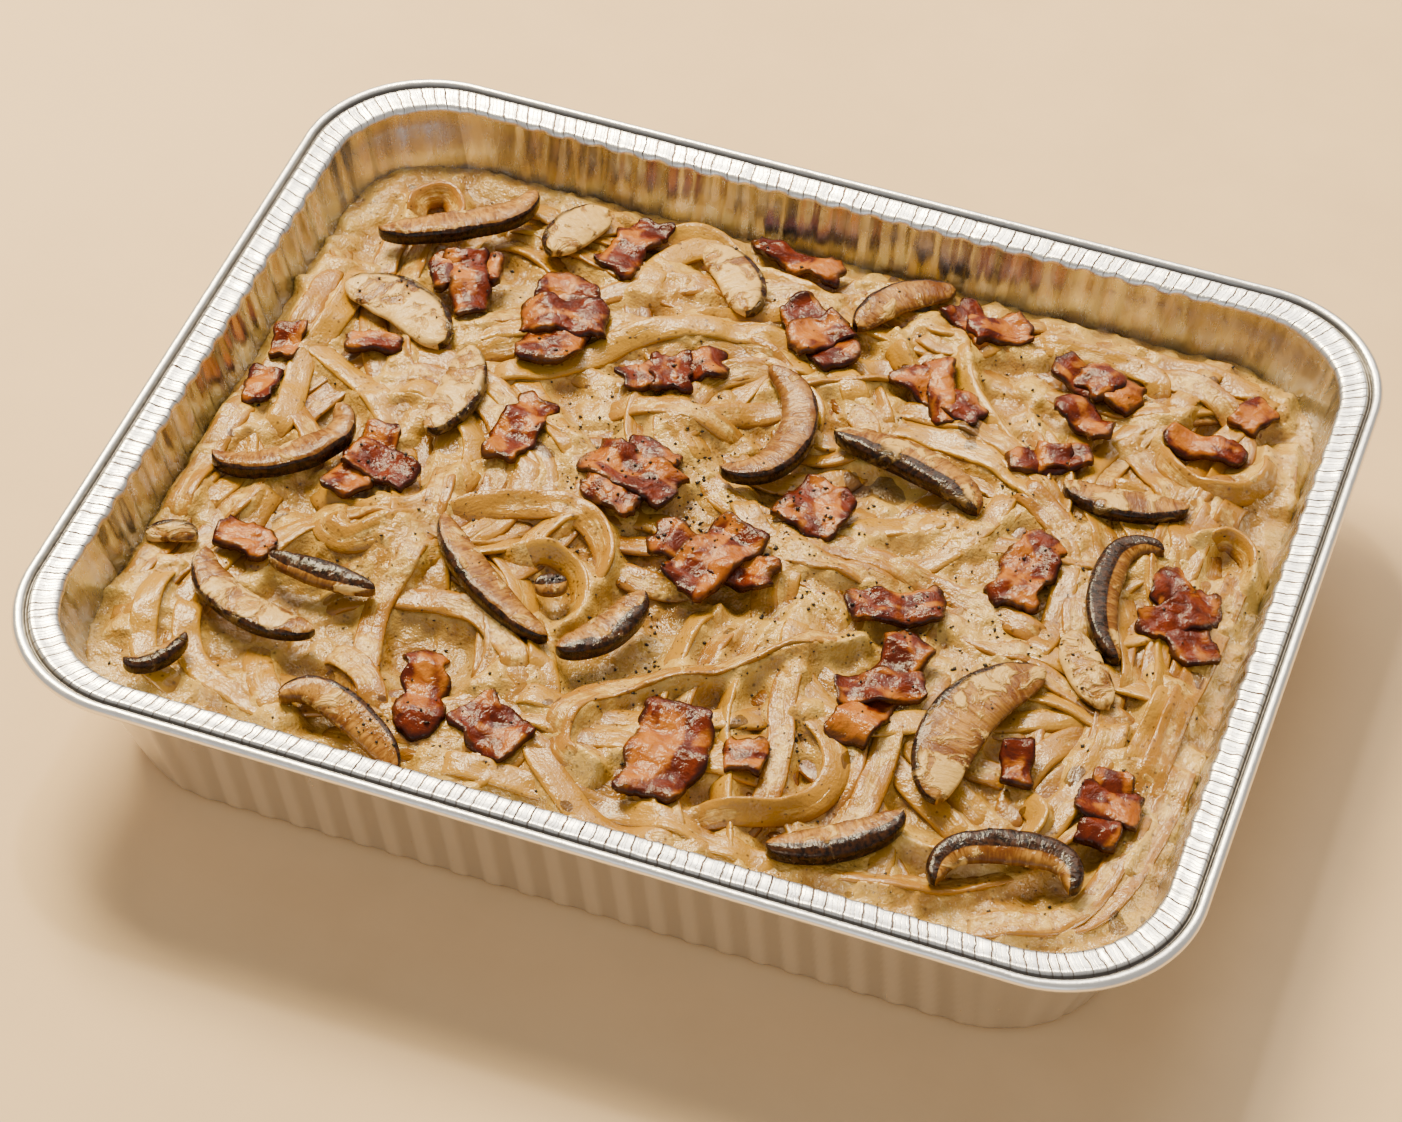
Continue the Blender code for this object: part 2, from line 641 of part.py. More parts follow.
def lay_ribbon(surface, points, roll):
    """The runs of a ribbon that show, each a list of (centre, side, up), laid over what is there already.

    A ribbon that would meet a topping or the tray dips into the mass there, and only what shows of it is kept.
    """
    route = smooth_route(points, CELL)
    along = np.gradient(route, axis=0)
    along /= np.hypot(*along.T)[:, None]
    side = np.stack([-along[:, 1], along[:, 0]], 1)
    tilt = math.radians(roll)
    half_flat = RIBBON_WIDTH / 2 * math.cos(tilt)
    half_high = RIBBON_WIDTH / 2 * abs(math.sin(tilt)) + RIBBON_THICK / 2 * math.cos(tilt)
    reaches = np.linspace(-half_flat, half_flat, 5)
    cells = [[surface.cell(p + s * reach) for reach in reaches] for p, s in zip(route, side)]
    under = np.array([max(surface.heights[cell] for cell in row) for row in cells])
    window = np.hanning(2 * round(RING_STEP / CELL) + 3)[1:-1]
    eased = np.convolve(np.pad(under, len(window) // 2, mode="edge"), window / window.sum(), mode="valid")
    sink = RIBBON_SINK + 0.55 * RIBBON_WIDTH / 2 * abs(math.sin(tilt))
    middle = np.maximum(eased, under - RIBBON_SINK) + half_high - sink
    middle = np.minimum(middle, RIBBON_CEILING - half_high)
    clear = np.array([min(surface.clearance[cell] for cell in row) for row in cells])
    inside = distance_inside(route[:, 0], route[:, 1], RIM_WIDTH)
    runs = []
    for first, last in stretches((clear > TOPPING_KEEP) & (inside > half_flat + WALL_KEEP)):
        if (last - first) * CELL < SHORTEST_RUN:
            continue
        for index in range(first, last + 1):
            for cell in cells[index]:
                surface.heights[cell] = max(surface.heights[cell], middle[index] + half_high)
        rings = max(3, round((last - first) * CELL / RING_STEP) + 1)
        run = []
        for index in np.linspace(first, last, rings).round().astype(int):
            flat = Vector((*side[index], 0))
            wide = flat * math.cos(tilt) + Vector((0, 0, math.sin(tilt)))
            thick = Vector((0, 0, math.cos(tilt))) - flat * math.sin(tilt)
            run.append((Vector((*route[index], middle[index])), wide, thick))
        runs.append(run)
    return runs


def ribbon_mesh(run):
    """A ribbon of four sides whose ends bow down into the mass."""
    mesh_edit = bmesh.new()
    rings = []
    for index, (centre, wide, thick) in enumerate(run):
        ends = index in (0, len(run) - 1)
        half_wide = wide * RIBBON_WIDTH / 2 * (0.8 if ends else 1)
        half_thick = thick * RIBBON_THICK / 2
        spot = centre - Vector((0, 0, RIBBON_THICK * 0.7 if ends else 0))
        corners = (half_wide + half_thick, half_thick - half_wide, -half_wide - half_thick, half_wide - half_thick)
        rings.append([mesh_edit.verts.new(spot + corner) for corner in corners])
    for near, far in zip(rings, rings[1:]):
        for a in range(4):
            b = (a + 1) % 4
            mesh_edit.faces.new([near[a], near[b], far[b], far[a]])
    mesh_edit.faces.new(rings[0])
    mesh_edit.faces.new(rings[-1])
    return add_object("ribbon", mesh_edit, "pasta")


def keep_largest_shell(mesh):
    """Drops the loose scraps and the sealed hollows that a union leaves."""
    mesh_edit = bmesh.new()
    mesh_edit.from_mesh(mesh)
    bmesh.ops.remove_doubles(mesh_edit, verts=mesh_edit.verts, dist=1e-6)
    unseen, shells = set(mesh_edit.faces), []
    while unseen:
        front = [unseen.pop()]
        shell = set(front)
        while front:
            face = front.pop()
            for edge in face.edges:
                for other in edge.link_faces:
                    if other in unseen:
                        unseen.remove(other)
                        shell.add(other)
                        front.append(other)
        shells.append(shell)
    shells.sort(key=len)
    for shell in shells[:-1]:
        bmesh.ops.delete(mesh_edit, geom=list(shell), context="FACES")
    bmesh.ops.triangulate(mesh_edit, faces=mesh_edit.faces)
    mesh_edit.to_mesh(mesh)
    mesh_edit.free()


def fuse(core, pieces):
    """Joins the ribbons to the mass with one union, and removes them."""
    collection = bpy.data.collections.new("ribbons")
    bpy.context.scene.collection.children.link(collection)
    for piece in pieces:
        bpy.context.scene.collection.objects.unlink(piece)
        collection.objects.link(piece)
    union = core.modifiers.new("fuse", "BOOLEAN")
    union.operation = "UNION"
    union.operand_type = "COLLECTION"
    union.collection = collection
    union.solver = "MANIFOLD"
    bpy.context.view_layer.update()
    graph = bpy.context.evaluated_depsgraph_get()
    fused = bpy.data.meshes.new_from_object(core.evaluated_get(graph))
    core.modifiers.clear()
    core.data = fused
    for piece in pieces:
        bpy.data.objects.remove(piece)
    bpy.data.collections.remove(collection)
    keep_largest_shell(core.data)


def main():
    for old in list(bpy.data.objects):
        bpy.data.objects.remove(old)
    random_source = random.Random(SEED)
    foil_tray()
    core = core_mesh()
    ground = Ground(core)
    toppings = []
    for number, spec in enumerate(MUSHROOMS, 1):
        toppings.append(mushroom_slice(f"mushroom_slice_{number:02d}", spec, ground))
    for number, spec in enumerate(BACON, 1):
        toppings.append(bacon_piece(f"bacon_piece_{number:02d}", spec, ground, random_source))
    surface = Surface(toppings)
    runs = []
    for points, roll in filler_routes(random_source) + RIBBONS:
        runs += lay_ribbon(surface, points, roll)
    fuse(core, [ribbon_mesh(run) for run in runs])


main()
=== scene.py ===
"""Dresses a foil tray of fettuccine in cream sauce, mushrooms, bacon and pepper for a photograph."""

import math

import bpy
import numpy as np
from mathutils import Matrix, Vector
from mathutils.bvhtree import BVHTree


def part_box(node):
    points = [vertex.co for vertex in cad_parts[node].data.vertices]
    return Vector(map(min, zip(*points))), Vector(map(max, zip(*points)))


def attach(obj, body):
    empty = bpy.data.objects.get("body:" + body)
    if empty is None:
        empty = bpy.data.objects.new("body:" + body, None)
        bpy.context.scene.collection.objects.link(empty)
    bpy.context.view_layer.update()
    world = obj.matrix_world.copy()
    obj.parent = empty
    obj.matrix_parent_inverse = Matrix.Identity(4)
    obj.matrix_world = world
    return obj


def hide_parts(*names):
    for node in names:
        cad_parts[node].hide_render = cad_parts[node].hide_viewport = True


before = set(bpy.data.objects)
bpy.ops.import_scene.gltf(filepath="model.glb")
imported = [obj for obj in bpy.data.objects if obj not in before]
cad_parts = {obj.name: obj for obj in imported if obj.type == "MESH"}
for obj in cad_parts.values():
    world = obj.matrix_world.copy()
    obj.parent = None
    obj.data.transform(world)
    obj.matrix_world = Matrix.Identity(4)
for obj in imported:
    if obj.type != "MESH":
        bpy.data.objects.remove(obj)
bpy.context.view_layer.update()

MM = 0.001

# The tray, as it is in the CAD model
RIM_LONG = 324.0
RIM_SHORT = 264.0
RIM_CORNER = 39.0
TRAY_HEIGHT = 56.0
BASE_INSET = 22.5
BASE_CORNER = 34.0
FOIL = 0.8
RIM_WIDTH = 10.5
FLANGE_CORNER = 32.0
FLANGE_DROP = 0.9
BEAD = 3.2
BASE_ROUND = 2.5
FLUTE_PITCH = 9.3
FLUTE_DEPTH = 0.8

# The food's own surface, as it is in the CAD model
EDGE_DROP = 20.0
CROWN_DROP = 13.5
CROWN_REACH = 20.0
SWELL = 0.9
RIBBON_WIDTH = 8.2
RIBBON_THICK = 2.0
RIBBON_CEILING = TRAY_HEIGHT - 7.0

# Each ribbon's route over the food, (x, y) in millimetres, and its roll in degrees
RIBBONS = [
    ([(-139, 62), (-137, 35), (-139, 5), (-141, -25), (-140, -55)], 8),
    ([(-131, 66), (-129, 40), (-131, 18), (-127, -2), (-130, -14)], -8),
    ([(-134, -64), (-133, -82), (-126, -98), (-110, -106)], 10),
    ([(-124, -72), (-120, -86), (-112, -96), (-98, -102), (-82, -106)], -6),
    ([(138, 88), (143, 60), (144, 25), (143, -20), (141, -60), (134, -92), (112, -106)], 8),
    ([(133, -12), (131, -35), (130, -50)], -8),
    ([(121, -26), (122, -45), (112, -78), (104, -84)], 6),
    ([(140, 40), (138, 8), (136, -30), (135, -70), (126, -98), (98, -108)], -6),
    ([(-44, -106), (-22, -104), (6, -103), (36, -106), (60, -108)], 4),
    ([(-40, -76), (-24, -84), (-12, -98), (6, -110), (34, -112)], -6),
    ([(-78, -2), (-74, -20), (-73, -42), (-75, -62), (-70, -82), (-62, -98)], 6),
    ([(-86, -78), (-76, -80), (-66, -88), (-60, -100)], -4),
    ([(-98, -78), (-98, -88), (-92, -98), (-82, -106)], 14),
    ([(-82, 30), (-62, 42), (-46, 58), (-28, 68), (-8, 71), (14, 66), (24, 54)], 5),
    ([(-50, 29), (-30, 33), (-8, 33), (-2, 30)], -5),
    ([(18, 0), (36, 2), (58, 0), (80, -4), (98, -10)], 6),
    ([(14, -6), (36, -6), (60, -8), (84, -16), (100, -16)], -6),
    ([(36, -40), (38, -56), (42, -70), (44, -88), (40, -104)], 10),
    ([(70, 42), (84, 34), (97, 22), (101, 4), (106, -10)], 6),
    ([(96, 72), (108, 60), (118, 46), (124, 30), (128, 16)], -6),
    ([(54, 99), (70, 99), (88, 100), (98, 97), (101, 88)], 8),
    ([(-50, 76), (-48, 94), (-38, 106), (-24, 108)], 10),
    ([(62, 30), (54, 20), (40, 14), (36, 4)], 12),
    ([(-60, 96), (-50, 105), (-38, 108), (-28, 100)], 40),
    ([(-124, 84), (-126, 94), (-120, 100), (-114, 92), (-116, 82)], 55),
    (
        [(-100, -32), (-98, -42), (-88, -44), (-78, -34), (-64, -22),
         (-46, -13), (-32, -14), (-24, -24), (-25, -36)], 38,
    ),
    ([(-46, -34), (-38, -29), (-29, -32), (-25, -42), (-28, -52)], 50),
    ([(50, -26), (36, -36), (22, -48), (6, -58), (-8, -68), (-14, -80), (-11, -92), (0, -97)], 34),
    ([(26, -101), (40, -96), (54, -88), (59, -76), (54, -64), (44, -56)], 36),
    ([(104, 74), (112, 62), (122, 58), (132, 60), (138, 70), (136, 82)], 52),
    ([(127, 36), (133, 42), (140, 38), (142, 28)], 52),
    ([(104, -62), (112, -70), (106, -82), (94, -86), (80, -84)], 34),
]

# Each mushroom slice: centre, turn, spine length, depth, bend and the curls at its ends, in millimetres and
# degrees, then the side its skin is on (1 is left of the spine), how much sauce is on it and the share of its
# width that is dark skin.
MUSHROOMS = [
    (-109, 87, 36, 52, 11, 45, 0, 40, -1, 0.15, 0.09),
    (-112, 46, -24, 41, 17, -75, 0, 0, 1, 0.85, 0.15),
    (-77, 94, 70, 26, 14, -40, 0, 0, 1, 0.9, 0.15),
    (-84, 19, 92, 36, 13, 50, 0, 0, -1, 0.8, 0.14),
    (-120, -16, 42, 50, 10, 85, 20, 70, -1, 0.25, 0.1),
    (-27, 91, -50, 33, 14, -60, 0, 0, 1, 0.8, 0.15),
    (21, 99, 52, 36, 11, -60, 0, 0, 1, 0.2, 0.16),
    (6, 38, 92, 58, 11, 112, 40, 20, -1, 0.1, 0.12),
    (44, 37, -14, 50, 12, -30, 0, 25, -1, 0.5, 0.3),
    (103, 44, 8, 36, 11, 50, 0, 0, -1, 0.45, 0.14),
    (109, 10, -84, 54, 9, 60, 90, 10, -1, 0.1, 0.6),
    (-49, -46, -37, 54, 10, 25, 10, 10, -1, 0.2, 0.14),
    (-14, -49, 62, 32, 11, 55, 0, 0, -1, 0.3, 0.26),
    (-33, -41, 30, 9, 7, 20, 0, 0, 1, 0.1, 0.6),
    (-107, -73, -22, 48, 11, 70, 20, 0, -1, 0.45, 0.09),
    (-92, -59, -4, 32, 8, 10, 0, 0, 1, 0.3, 0.8),
    (-122, -99, 50, 20, 6, 80, 20, 0, -1, 0.4, 0.5),
    (-66, -102, -24, 44, 10, -40, 75, 0, 1, 0.2, 0.2),
    (88, -49, -105, 58, 17, 75, 0, 0, -1, 0.5, 0.11),
    (110, -18, -52, 27, 11, 25, 0, 0, 1, 0.8, 0.05),
    (110, -89, 16, 50, 10, -60, 70, 85, 1, 0.1, 0.6),
    (-137, -57, 12, 15, 7, -60, 0, 0, 1, 0.8, 0.4),
    (66, -95, 33, 38, 11, 35, 0, 20, -1, 0.15, 0.35),
]

# Each bacon piece: its centre, then one or two crossing strips, each with its reach back and forward from the
# centre, its width and its turn, in millimetres and degrees.
BACON = [
    (-100, 67, (11, 10, 13, 23), (7, 19, 11, -62)),
    (-67, 57, (19, 18, 18, 97), (12, 13, 14, 15)),
    (-60, 95, (14, 14, 12, 78)),
    (-12, 107, (16, 14, 8, -14)),
    (3, 78, (15, 14, 15, -42), (9, 9, 12, 48)),
    (47, 98, (14, 6, 12, -39), (5, 13, 12, 32)),
    (83, 88, (13, 13, 12, -14), (5, 8, 11, 60)),
    (84, 72, (10, 9, 9, -28)),
    (128, 92, (7, 7, 10, 66)),
    (118, 75, (12, 12, 9, 4)),
    (80, 53, (13, 11, 9, 28), (5, 5, 10, 104)),
    (-31, 48, (15, 17, 11, 36), (8, 6, 12, 110)),
    (-114, 30, (8, 8, 8, 15)),
    (-138, 23.5, (7, 7, 10, 98)),
    (-138, 5, (8, 8, 8, 100)),
    (-98, -14, (16, 14, 12, 84), (5, 16, 12, -8)),
    (-63, 12, (14, 14, 12, 84)),
    (-27, 7, (16, 14, 18, 72), (15, 14, 15, -14)),
    (25, 13, (11, 9, 18, 76)),
    (4, -16, (18, 18, 13, -6), (14, 15, 16, 68)),
    (85, 12, (15, 14, 15, 82)),
    (56, -15, (13, 13, 12, 22)),
    (62, -44, (21, 20, 13, 80), (13, 11, 11, 24)),
    (128, 10, (18, 17, 11, -58), (12, 13, 12, 48)),
    (128, -60, (14, 13, 11, 94), (9, 9, 12, 4)),
    (16, -83, (17, 16, 20, 93)),
    (35, -78, (6, 6, 10, 10)),
    (-51, -87, (14, 14, 12, -76)),
    (-31, -91, (11, 12, 15, -28)),
    (-117, -52, (9, 9, 10, -10)),
    (43, 68, (15, 15, 11, -22), (13, 12, 8, -70)),
    (102, -56, (6, 6, 8, -75)),
]


# Camera, lights and floor


def look(back, up_hint, roll):
    """A rotation that looks against the direction back, turned by roll about it."""
    right = up_hint.cross(back).normalized()
    up = back.cross(right)
    return Matrix((right, up, back)).transposed() @ Matrix.Rotation(roll, 3, "Z")


# Where the camera stands, in degrees round the tray, above it and of roll, and its place in its own axes from
# the middle of the rim, in metres
CAMERA_TURNS = (18.08, 47.12, 2.04)
CAMERA_PLACE = (-0.00479, -0.02021, 1.1202)
LENS = 106.07
SENSOR = 36


def set_camera():
    azimuth, elevation, roll = (math.radians(turn) for turn in CAMERA_TURNS)
    back = Vector((
        math.sin(azimuth) * math.cos(elevation),
        -math.cos(azimuth) * math.cos(elevation),
        math.sin(elevation),
    ))
    turned = look(back, Vector((0, 0, 1)), roll)
    place = Vector((0, 0, TRAY_HEIGHT * MM)) + turned @ Vector(CAMERA_PLACE)
    lens = bpy.data.cameras.new("camera")
    lens.lens = LENS
    lens.sensor_width = SENSOR
    camera = bpy.data.objects.new("camera", lens)
    camera.matrix_world = Matrix.Translation(place) @ turned.to_4x4()
    bpy.context.scene.collection.objects.link(camera)
    bpy.context.scene.camera = camera


def add_light(name, place, size, power, colour):
    data = bpy.data.lights.new(name, "AREA")
    data.shape = "RECTANGLE"
    data.size, data.size_y = size
    data.energy = power
    data.color = colour
    light = bpy.data.objects.new(name, data)
    place = Vector(place)
    light.matrix_world = Matrix.Translation(place) @ look(place.normalized(), Vector((0, 1, 0.3)), 0).to_4x4()
    bpy.context.scene.collection.objects.link(light)


def set_lights():
    add_light("soft_key", (-0.92, 0.92, 1.6), (0.7, 0.7), 84, (1.0, 0.83, 0.48))
    add_light("soft_panel", (-0.36, 1.45, 1.6), (1.8, 1.3), 31, (1.0, 0.92, 0.8))
    add_light("small_spark", (-0.55, 1.0, 1.9), (0.12, 0.12), 14, (1.0, 0.92, 0.78))
    add_light("soft_fill", (0.3, -1.9, 0.8), (1.8, 1.0), 5.5, (0.88, 0.95, 1.0))
    world = bpy.data.worlds.new("studio")
    world.use_nodes = True
    background = world.node_tree.nodes["Background"]
    background.inputs["Color"].default_value = (1.0, 0.95, 0.88, 1)
    background.inputs["Strength"].default_value = 0.5
    bpy.context.scene.world = world


# Shaders


def paint(red, green, blue):
    """A colour as the eye reads it, 0 to 255, in Blender's linear values."""
    linear = []
    for part in (red, green, blue):
        value = part / 255
        linear.append(value / 12.92 if value <= 0.04045 else ((value + 0.055) / 1.055) ** 2.4)
    return (*linear, 1.0)


class Value:
    """A socket of a node, on which Python's operators add Math nodes."""

    def __init__(self, finish, socket):
        self.finish = finish
        self.socket = socket

    def maths(self, operation, first, second):
        return self.finish.node("ShaderNodeMath", {"operation": operation}, {0: first, 1: second})

    def __add__(self, other):
        return self.maths("ADD", self, other)

    def __sub__(self, other):
        return self.maths("SUBTRACT", self, other)

    def __mul__(self, other):
        return self.maths("MULTIPLY", self, other)

    def __rsub__(self, other):
        return self.maths("SUBTRACT", other, self)

    __radd__ = __add__
    __rmul__ = __mul__

    def rise(self, low, high):
        """0 below low, 1 above high, with a smooth step between."""
        inputs = {0: self, 1: low, 2: high, 3: 0.0, 4: 1.0}
        return self.finish.node("ShaderNodeMapRange", {"interpolation_type": "SMOOTHSTEP"}, inputs)


class Finish:
    """A procedural material built on one Principled shader."""

    def __init__(self, name):
        self.material = bpy.data.materials.new(name)
        self.material.use_nodes = True
        self.tree = self.material.node_tree
        self.shader = self.tree.nodes["Principled BSDF"]
        self.place = self.node("ShaderNodeTexCoord", {}, {}, "Object")

    def node(self, kind, settings, inputs, output=0):
        made = self.tree.nodes.new(kind)
        for key, value in settings.items():
            setattr(made, key, value)
        for key, value in inputs.items():
            self.feed(made.inputs[key], value)
        return Value(self, made.outputs[output])

    def feed(self, socket, value):
        if isinstance(value, Value):
            self.tree.links.new(value.socket, socket)
        else:
            socket.default_value = value

    def facts(self, *names):
        """The numbers that the mesh's points carry under these names."""
        return [self.node("ShaderNodeAttribute", {"attribute_name": name}, {}, "Fac") for name in names]

    def stretched(self, x, y, z):
        return self.node("ShaderNodeVectorMath", {"operation": "MULTIPLY"}, {0: self.place, 1: (x, y, z)})

    def at(self, x, y, z=0.0):
        """A place made from three numbers."""
        return self.node("ShaderNodeCombineXYZ", {}, {0: x, 1: y, 2: z})

    def noise(self, scale, detail=2.0, roughness=0.5, distortion=0.0, place=None):
        inputs = {"Vector": place or self.place, "Scale": scale}
        inputs |= {"Detail": detail, "Roughness": roughness, "Distortion": distortion}
        return self.node("ShaderNodeTexNoise", {}, inputs, "Fac")

    def cells(self, scale, place=None):
        inputs = {"Vector": place or self.place, "Scale": scale}
        return self.node("ShaderNodeTexVoronoi", {}, inputs, "Distance")

    def spice(self):
        """Fine pepper dust and brown specks, thick in some places and thin in others."""
        thick = self.noise(48.0, 2.0, 0.6)
        specks = self.cells(400.0)
        return 1 - specks.rise(0.06, 0.13 + (thick - 0.4) * 0.9)

    def mix(self, factor, first, second):
        """A colour between two colours, each a socket or red, green and blue from 0 to 255."""
        first, second = (paint(*c) if isinstance(c, tuple) else c for c in (first, second))
        return self.node("ShaderNodeMix", {"data_type": "RGBA"}, {0: factor, 6: first, 7: second}, 2)

    def under(self, colour, *coats):
        """A colour under coats, each a cover from 0 to 1 and a colour."""
        for cover, coat in coats:
            colour = self.mix(cover, colour, coat)
        return colour

    def bump(self, height, strength, distance):
        return self.node("ShaderNodeBump", {}, {"Height": height, "Strength": strength, "Distance": distance})

    def set(self, **values):
        """The material, once its shader's inputs are fed by their names."""
        for key, value in values.items():
            self.feed(self.shader.inputs[key.replace("_", " ").title().replace("Ior", "IOR")], value)
        return self.material


def floor_finish():
    f = Finish("plaster_floor")
    cloud = f.noise(3.0, 5.0, 0.6)
    mottle = f.noise(28.0, 4.0, 0.6)
    grain = f.noise(420.0)
    shade = cloud * 0.7 + mottle * 0.3
    return f.set(
        base_color=f.mix(shade.rise(0.35, 0.65), (219, 185, 139), (231, 197, 150)),
        roughness=0.55 + mottle * 0.15,
        normal=f.bump(grain * 0.3 + mottle, 0.15, 0.0006),
    )


def foil_finish():
    f = Finish("crimped_aluminium_foil")
    crinkle = f.noise(260.0, 3.0, 0.6, 0.4, f.stretched(1, 1, 0.35))
    facets = f.cells(190.0, f.stretched(1, 1, 0.4))
    pressed = f.noise(35.0, 3.0)
    brushed = f.noise(900.0, 2.0, 0.5, 0.0, f.stretched(1, 1, 0.05))
    run, pleat, inner, flute_shade, channel_shade = f.facts("run", "pleat", "inner", "flute_shade", "channel_shade")
    wander = run + (f.noise(300.0) - 0.5) * 1.6

    def creased(scale, low, high):
        """1 along folds at uneven places of the run, scale of them to a millimetre."""
        folds = {"voronoi_dimensions": "1D", "feature": "DISTANCE_TO_EDGE"}
        away = f.node("ShaderNodeTexVoronoi", folds, {"W": wander, "Scale": scale}, "Distance")
        return 1 - away.rise(low, high)

    # The folds of the pleats are painted as dark shade lines, and dented as well.
    shaded_folds = (creased(0.26, 0.02, 0.08) + creased(0.8, 0.0, 0.12) * 0.25) * pleat
    # Each facet of the inner wall is darkened by its own amount, a painted reflection.
    panel = f.node("ShaderNodeTexVoronoi", {"voronoi_dimensions": "1D"}, {"W": run, "Scale": 0.27}, "W")
    shade = f.node("ShaderNodeTexWhiteNoise", {"noise_dimensions": "1D"}, {"W": panel}, "Value")
    metal = f.under(
        f.mix(pressed, (240, 237, 233), (253, 250, 247)),
        (inner * 0.6, (212, 218, 232)),
        (inner * (0.05 + shade * 0.55), (132, 134, 144)),
        # Painted shade in the recesses of the wall's flutes.
        (flute_shade * 0.32, (132, 126, 118)),
        # Painted shade in the narrow channel between the bead and the flange.
        (channel_shade * 0.9, (44, 35, 28)),
        (shaded_folds * 0.95, (62, 38, 22)),
    )
    return f.set(
        metallic=1.0,
        base_color=metal,
        roughness=0.16 + crinkle * 0.16 + brushed * 0.05 + (1 - inner) * 0.05,
        normal=f.bump(crinkle * 0.7 + facets * 0.4 + brushed * 0.08 - shaded_folds * 0.9, 0.45, 0.0005),
    )


def cream_finish():
    f = Finish("cream_sauce")
    pools = f.noise(75.0, 4.0, 0.6, 0.6)
    clots_and_highlight = f.noise(380.0, 3.0, 0.6)
    grain = f.noise(1300.0)
    (hollow_shade,) = f.facts("hollow_shade")
    cream = f.under(
        f.mix(pools.rise(0.35, 0.65), (176, 127, 44), (212, 170, 78)),
        # Paler clots of cream, their raised tops also lighter as a painted highlight.
        (clots_and_highlight.rise(0.5, 0.75) * 0.6, (238, 202, 116)),
        # Painted shade in the hollows of the food.
        (hollow_shade * 0.5, (112, 66, 16)),
        (f.spice() * 0.65, (60, 34, 16)),
    )
    return f.set(
        base_color=cream,
        roughness=0.1 + pools * 0.16,
        specular_ior_level=0.5,
        normal=f.bump(clots_and_highlight * 1.2 + grain * 0.5 + pools * 0.8, 0.75, 0.0008),
    )


def pasta_finish():
    f = Finish("creamed_fettuccine")
    tint, edge, hollow_shade, lane, run = f.facts("tint", "edge", "hollow_shade", "lane", "run")
    coat = f.noise(70.0, 3.0, 0.5, 0.6)
    clots_and_highlight = f.noise(420.0, 4.0, 0.6)
    stain = f.noise(160.0, 3.0, 0.6, 0.5)
    streak = f.noise(0.85, 3.0, 0.6, 0.3, f.at(lane, run * 0.1))
    grain = f.noise(1300.0)
    wear = (coat * 0.7 + streak * 0.3 + edge * 0.18 + tint * 0.22 - 0.12).rise(0.40, 0.56)
    bare = f.mix(tint, (154, 100, 20), (188, 138, 36))
    # Cream on the pasta is paler in its clots and lighter on their raised tops as a painted highlight.
    creamed = f.mix(clots_and_highlight.rise(0.3, 0.75), (172, 122, 42), (234, 195, 104))
    colour = f.under(
        f.mix(wear, creamed, bare),
        (streak.rise(0.52, 0.72) * 0.18, (150, 98, 34)),
        (stain.rise(0.56, 0.78) * 0.5, (120, 74, 24)),
        # Painted shade in the hollows of the food.
        (hollow_shade * 0.9, (104, 54, 12)),
        (f.spice() * 0.75, (60, 32, 14)),
    )
    return f.set(
        base_color=colour,
        roughness=0.14 - wear * 0.03 + clots_and_highlight * 0.12,
        specular_ior_level=0.5,
        normal=f.bump(clots_and_highlight * (1.5 - wear) + coat * 1.2 + streak * 0.3 + grain * 0.3, 0.7, 0.0008),
    )


def mushroom_finish():
    f = Finish("sauteed_mushroom")
    skin, across, coat, run = f.facts("skin", "across", "coat", "run")
    brown = f.noise(90.0, 4.0, 0.6, 0.6)
    fibre = f.noise(700.0, 3.0, 0.6)
    film = f.noise(120.0, 4.0, 0.6, 0.7)
    streak = f.noise(0.8, 3.0, 0.6, 0.5, f.at(across * 1.5, run, coat * 90))
    flesh = f.under(
        f.mix((brown * 0.5 + streak * 0.5).rise(0.36, 0.62), (184, 132, 56), (108, 60, 18)),
        ((0 - across).rise(0.4, 0.98) * 0.7, (84, 46, 16)),
        (across.rise(0.2, 0.85) * 0.6, (92, 54, 22)),
    )
    dark = f.mix(fibre.rise(0.35, 0.7), (26, 13, 6), (70, 40, 18))
    cream = f.mix(fibre, (188, 142, 70), (230, 192, 110))
    covered = (film + coat * 0.28 - 0.19 - skin * 0.08).rise(0.43, 0.54)
    return f.set(
        base_color=f.under(flesh, (skin.rise(0.3, 0.55), dark), (covered * (0.95 - skin * 0.75), cream)),
        roughness=0.1 + brown * 0.1 + covered * 0.08,
        specular_ior_level=0.25,
        normal=f.bump(fibre * (0.6 - skin * 0.4) + brown + streak * 0.8 + covered * 1.5, 0.6, 0.0006),
    )


def bacon_finish():
    f = Finish("crisp_bacon")
    band, run, edge = f.facts("band", "run", "edge")
    zone = f.noise(0.11, 2.0, 0.5, 0.5, f.at(band, run * 0.5))
    grain = f.noise(430.0, 4.0, 0.65)
    mottle = f.noise(160.0, 4.0, 0.6, 0.8)
    blister = f.noise(330.0, 2.0, 0.5, 0.3)
    fat = (zone + (mottle - 0.5) * 0.2).rise(0.46, 0.57)
    lean = f.mix(mottle.rise(0.3, 0.7), (70, 20, 4), (112, 40, 6))
    rendered = f.mix(mottle.rise(0.3, 0.7), (146, 74, 8), (180, 108, 26))
    # Small lighter patches, partly a film of fat and partly painted sheen.
    film_and_sheen = (mottle + grain * 0.4).rise(0.84, 1.0)
    char = (edge + (mottle - 0.5) * 1.3).rise(0.55, 0.98)
    return f.set(
        base_color=f.under(lean, (fat, rendered), (film_and_sheen * 0.2, (190, 130, 74)), (char * 0.85, (34, 12, 7))),
        roughness=0.08 + grain * 0.14,
        specular_ior_level=0.24,
        normal=f.bump(grain * 0.8 + mottle * 1.6 + blister * 1.2, 0.7, 0.0006),
    )


def pepper_finish():
    f = Finish("cracked_black_pepper")
    grain = f.noise(900.0, 3.0)
    return f.set(base_color=f.mix(grain, (12, 8, 6), (40, 26, 17)), roughness=0.5 + grain * 0.2)


# Number fields


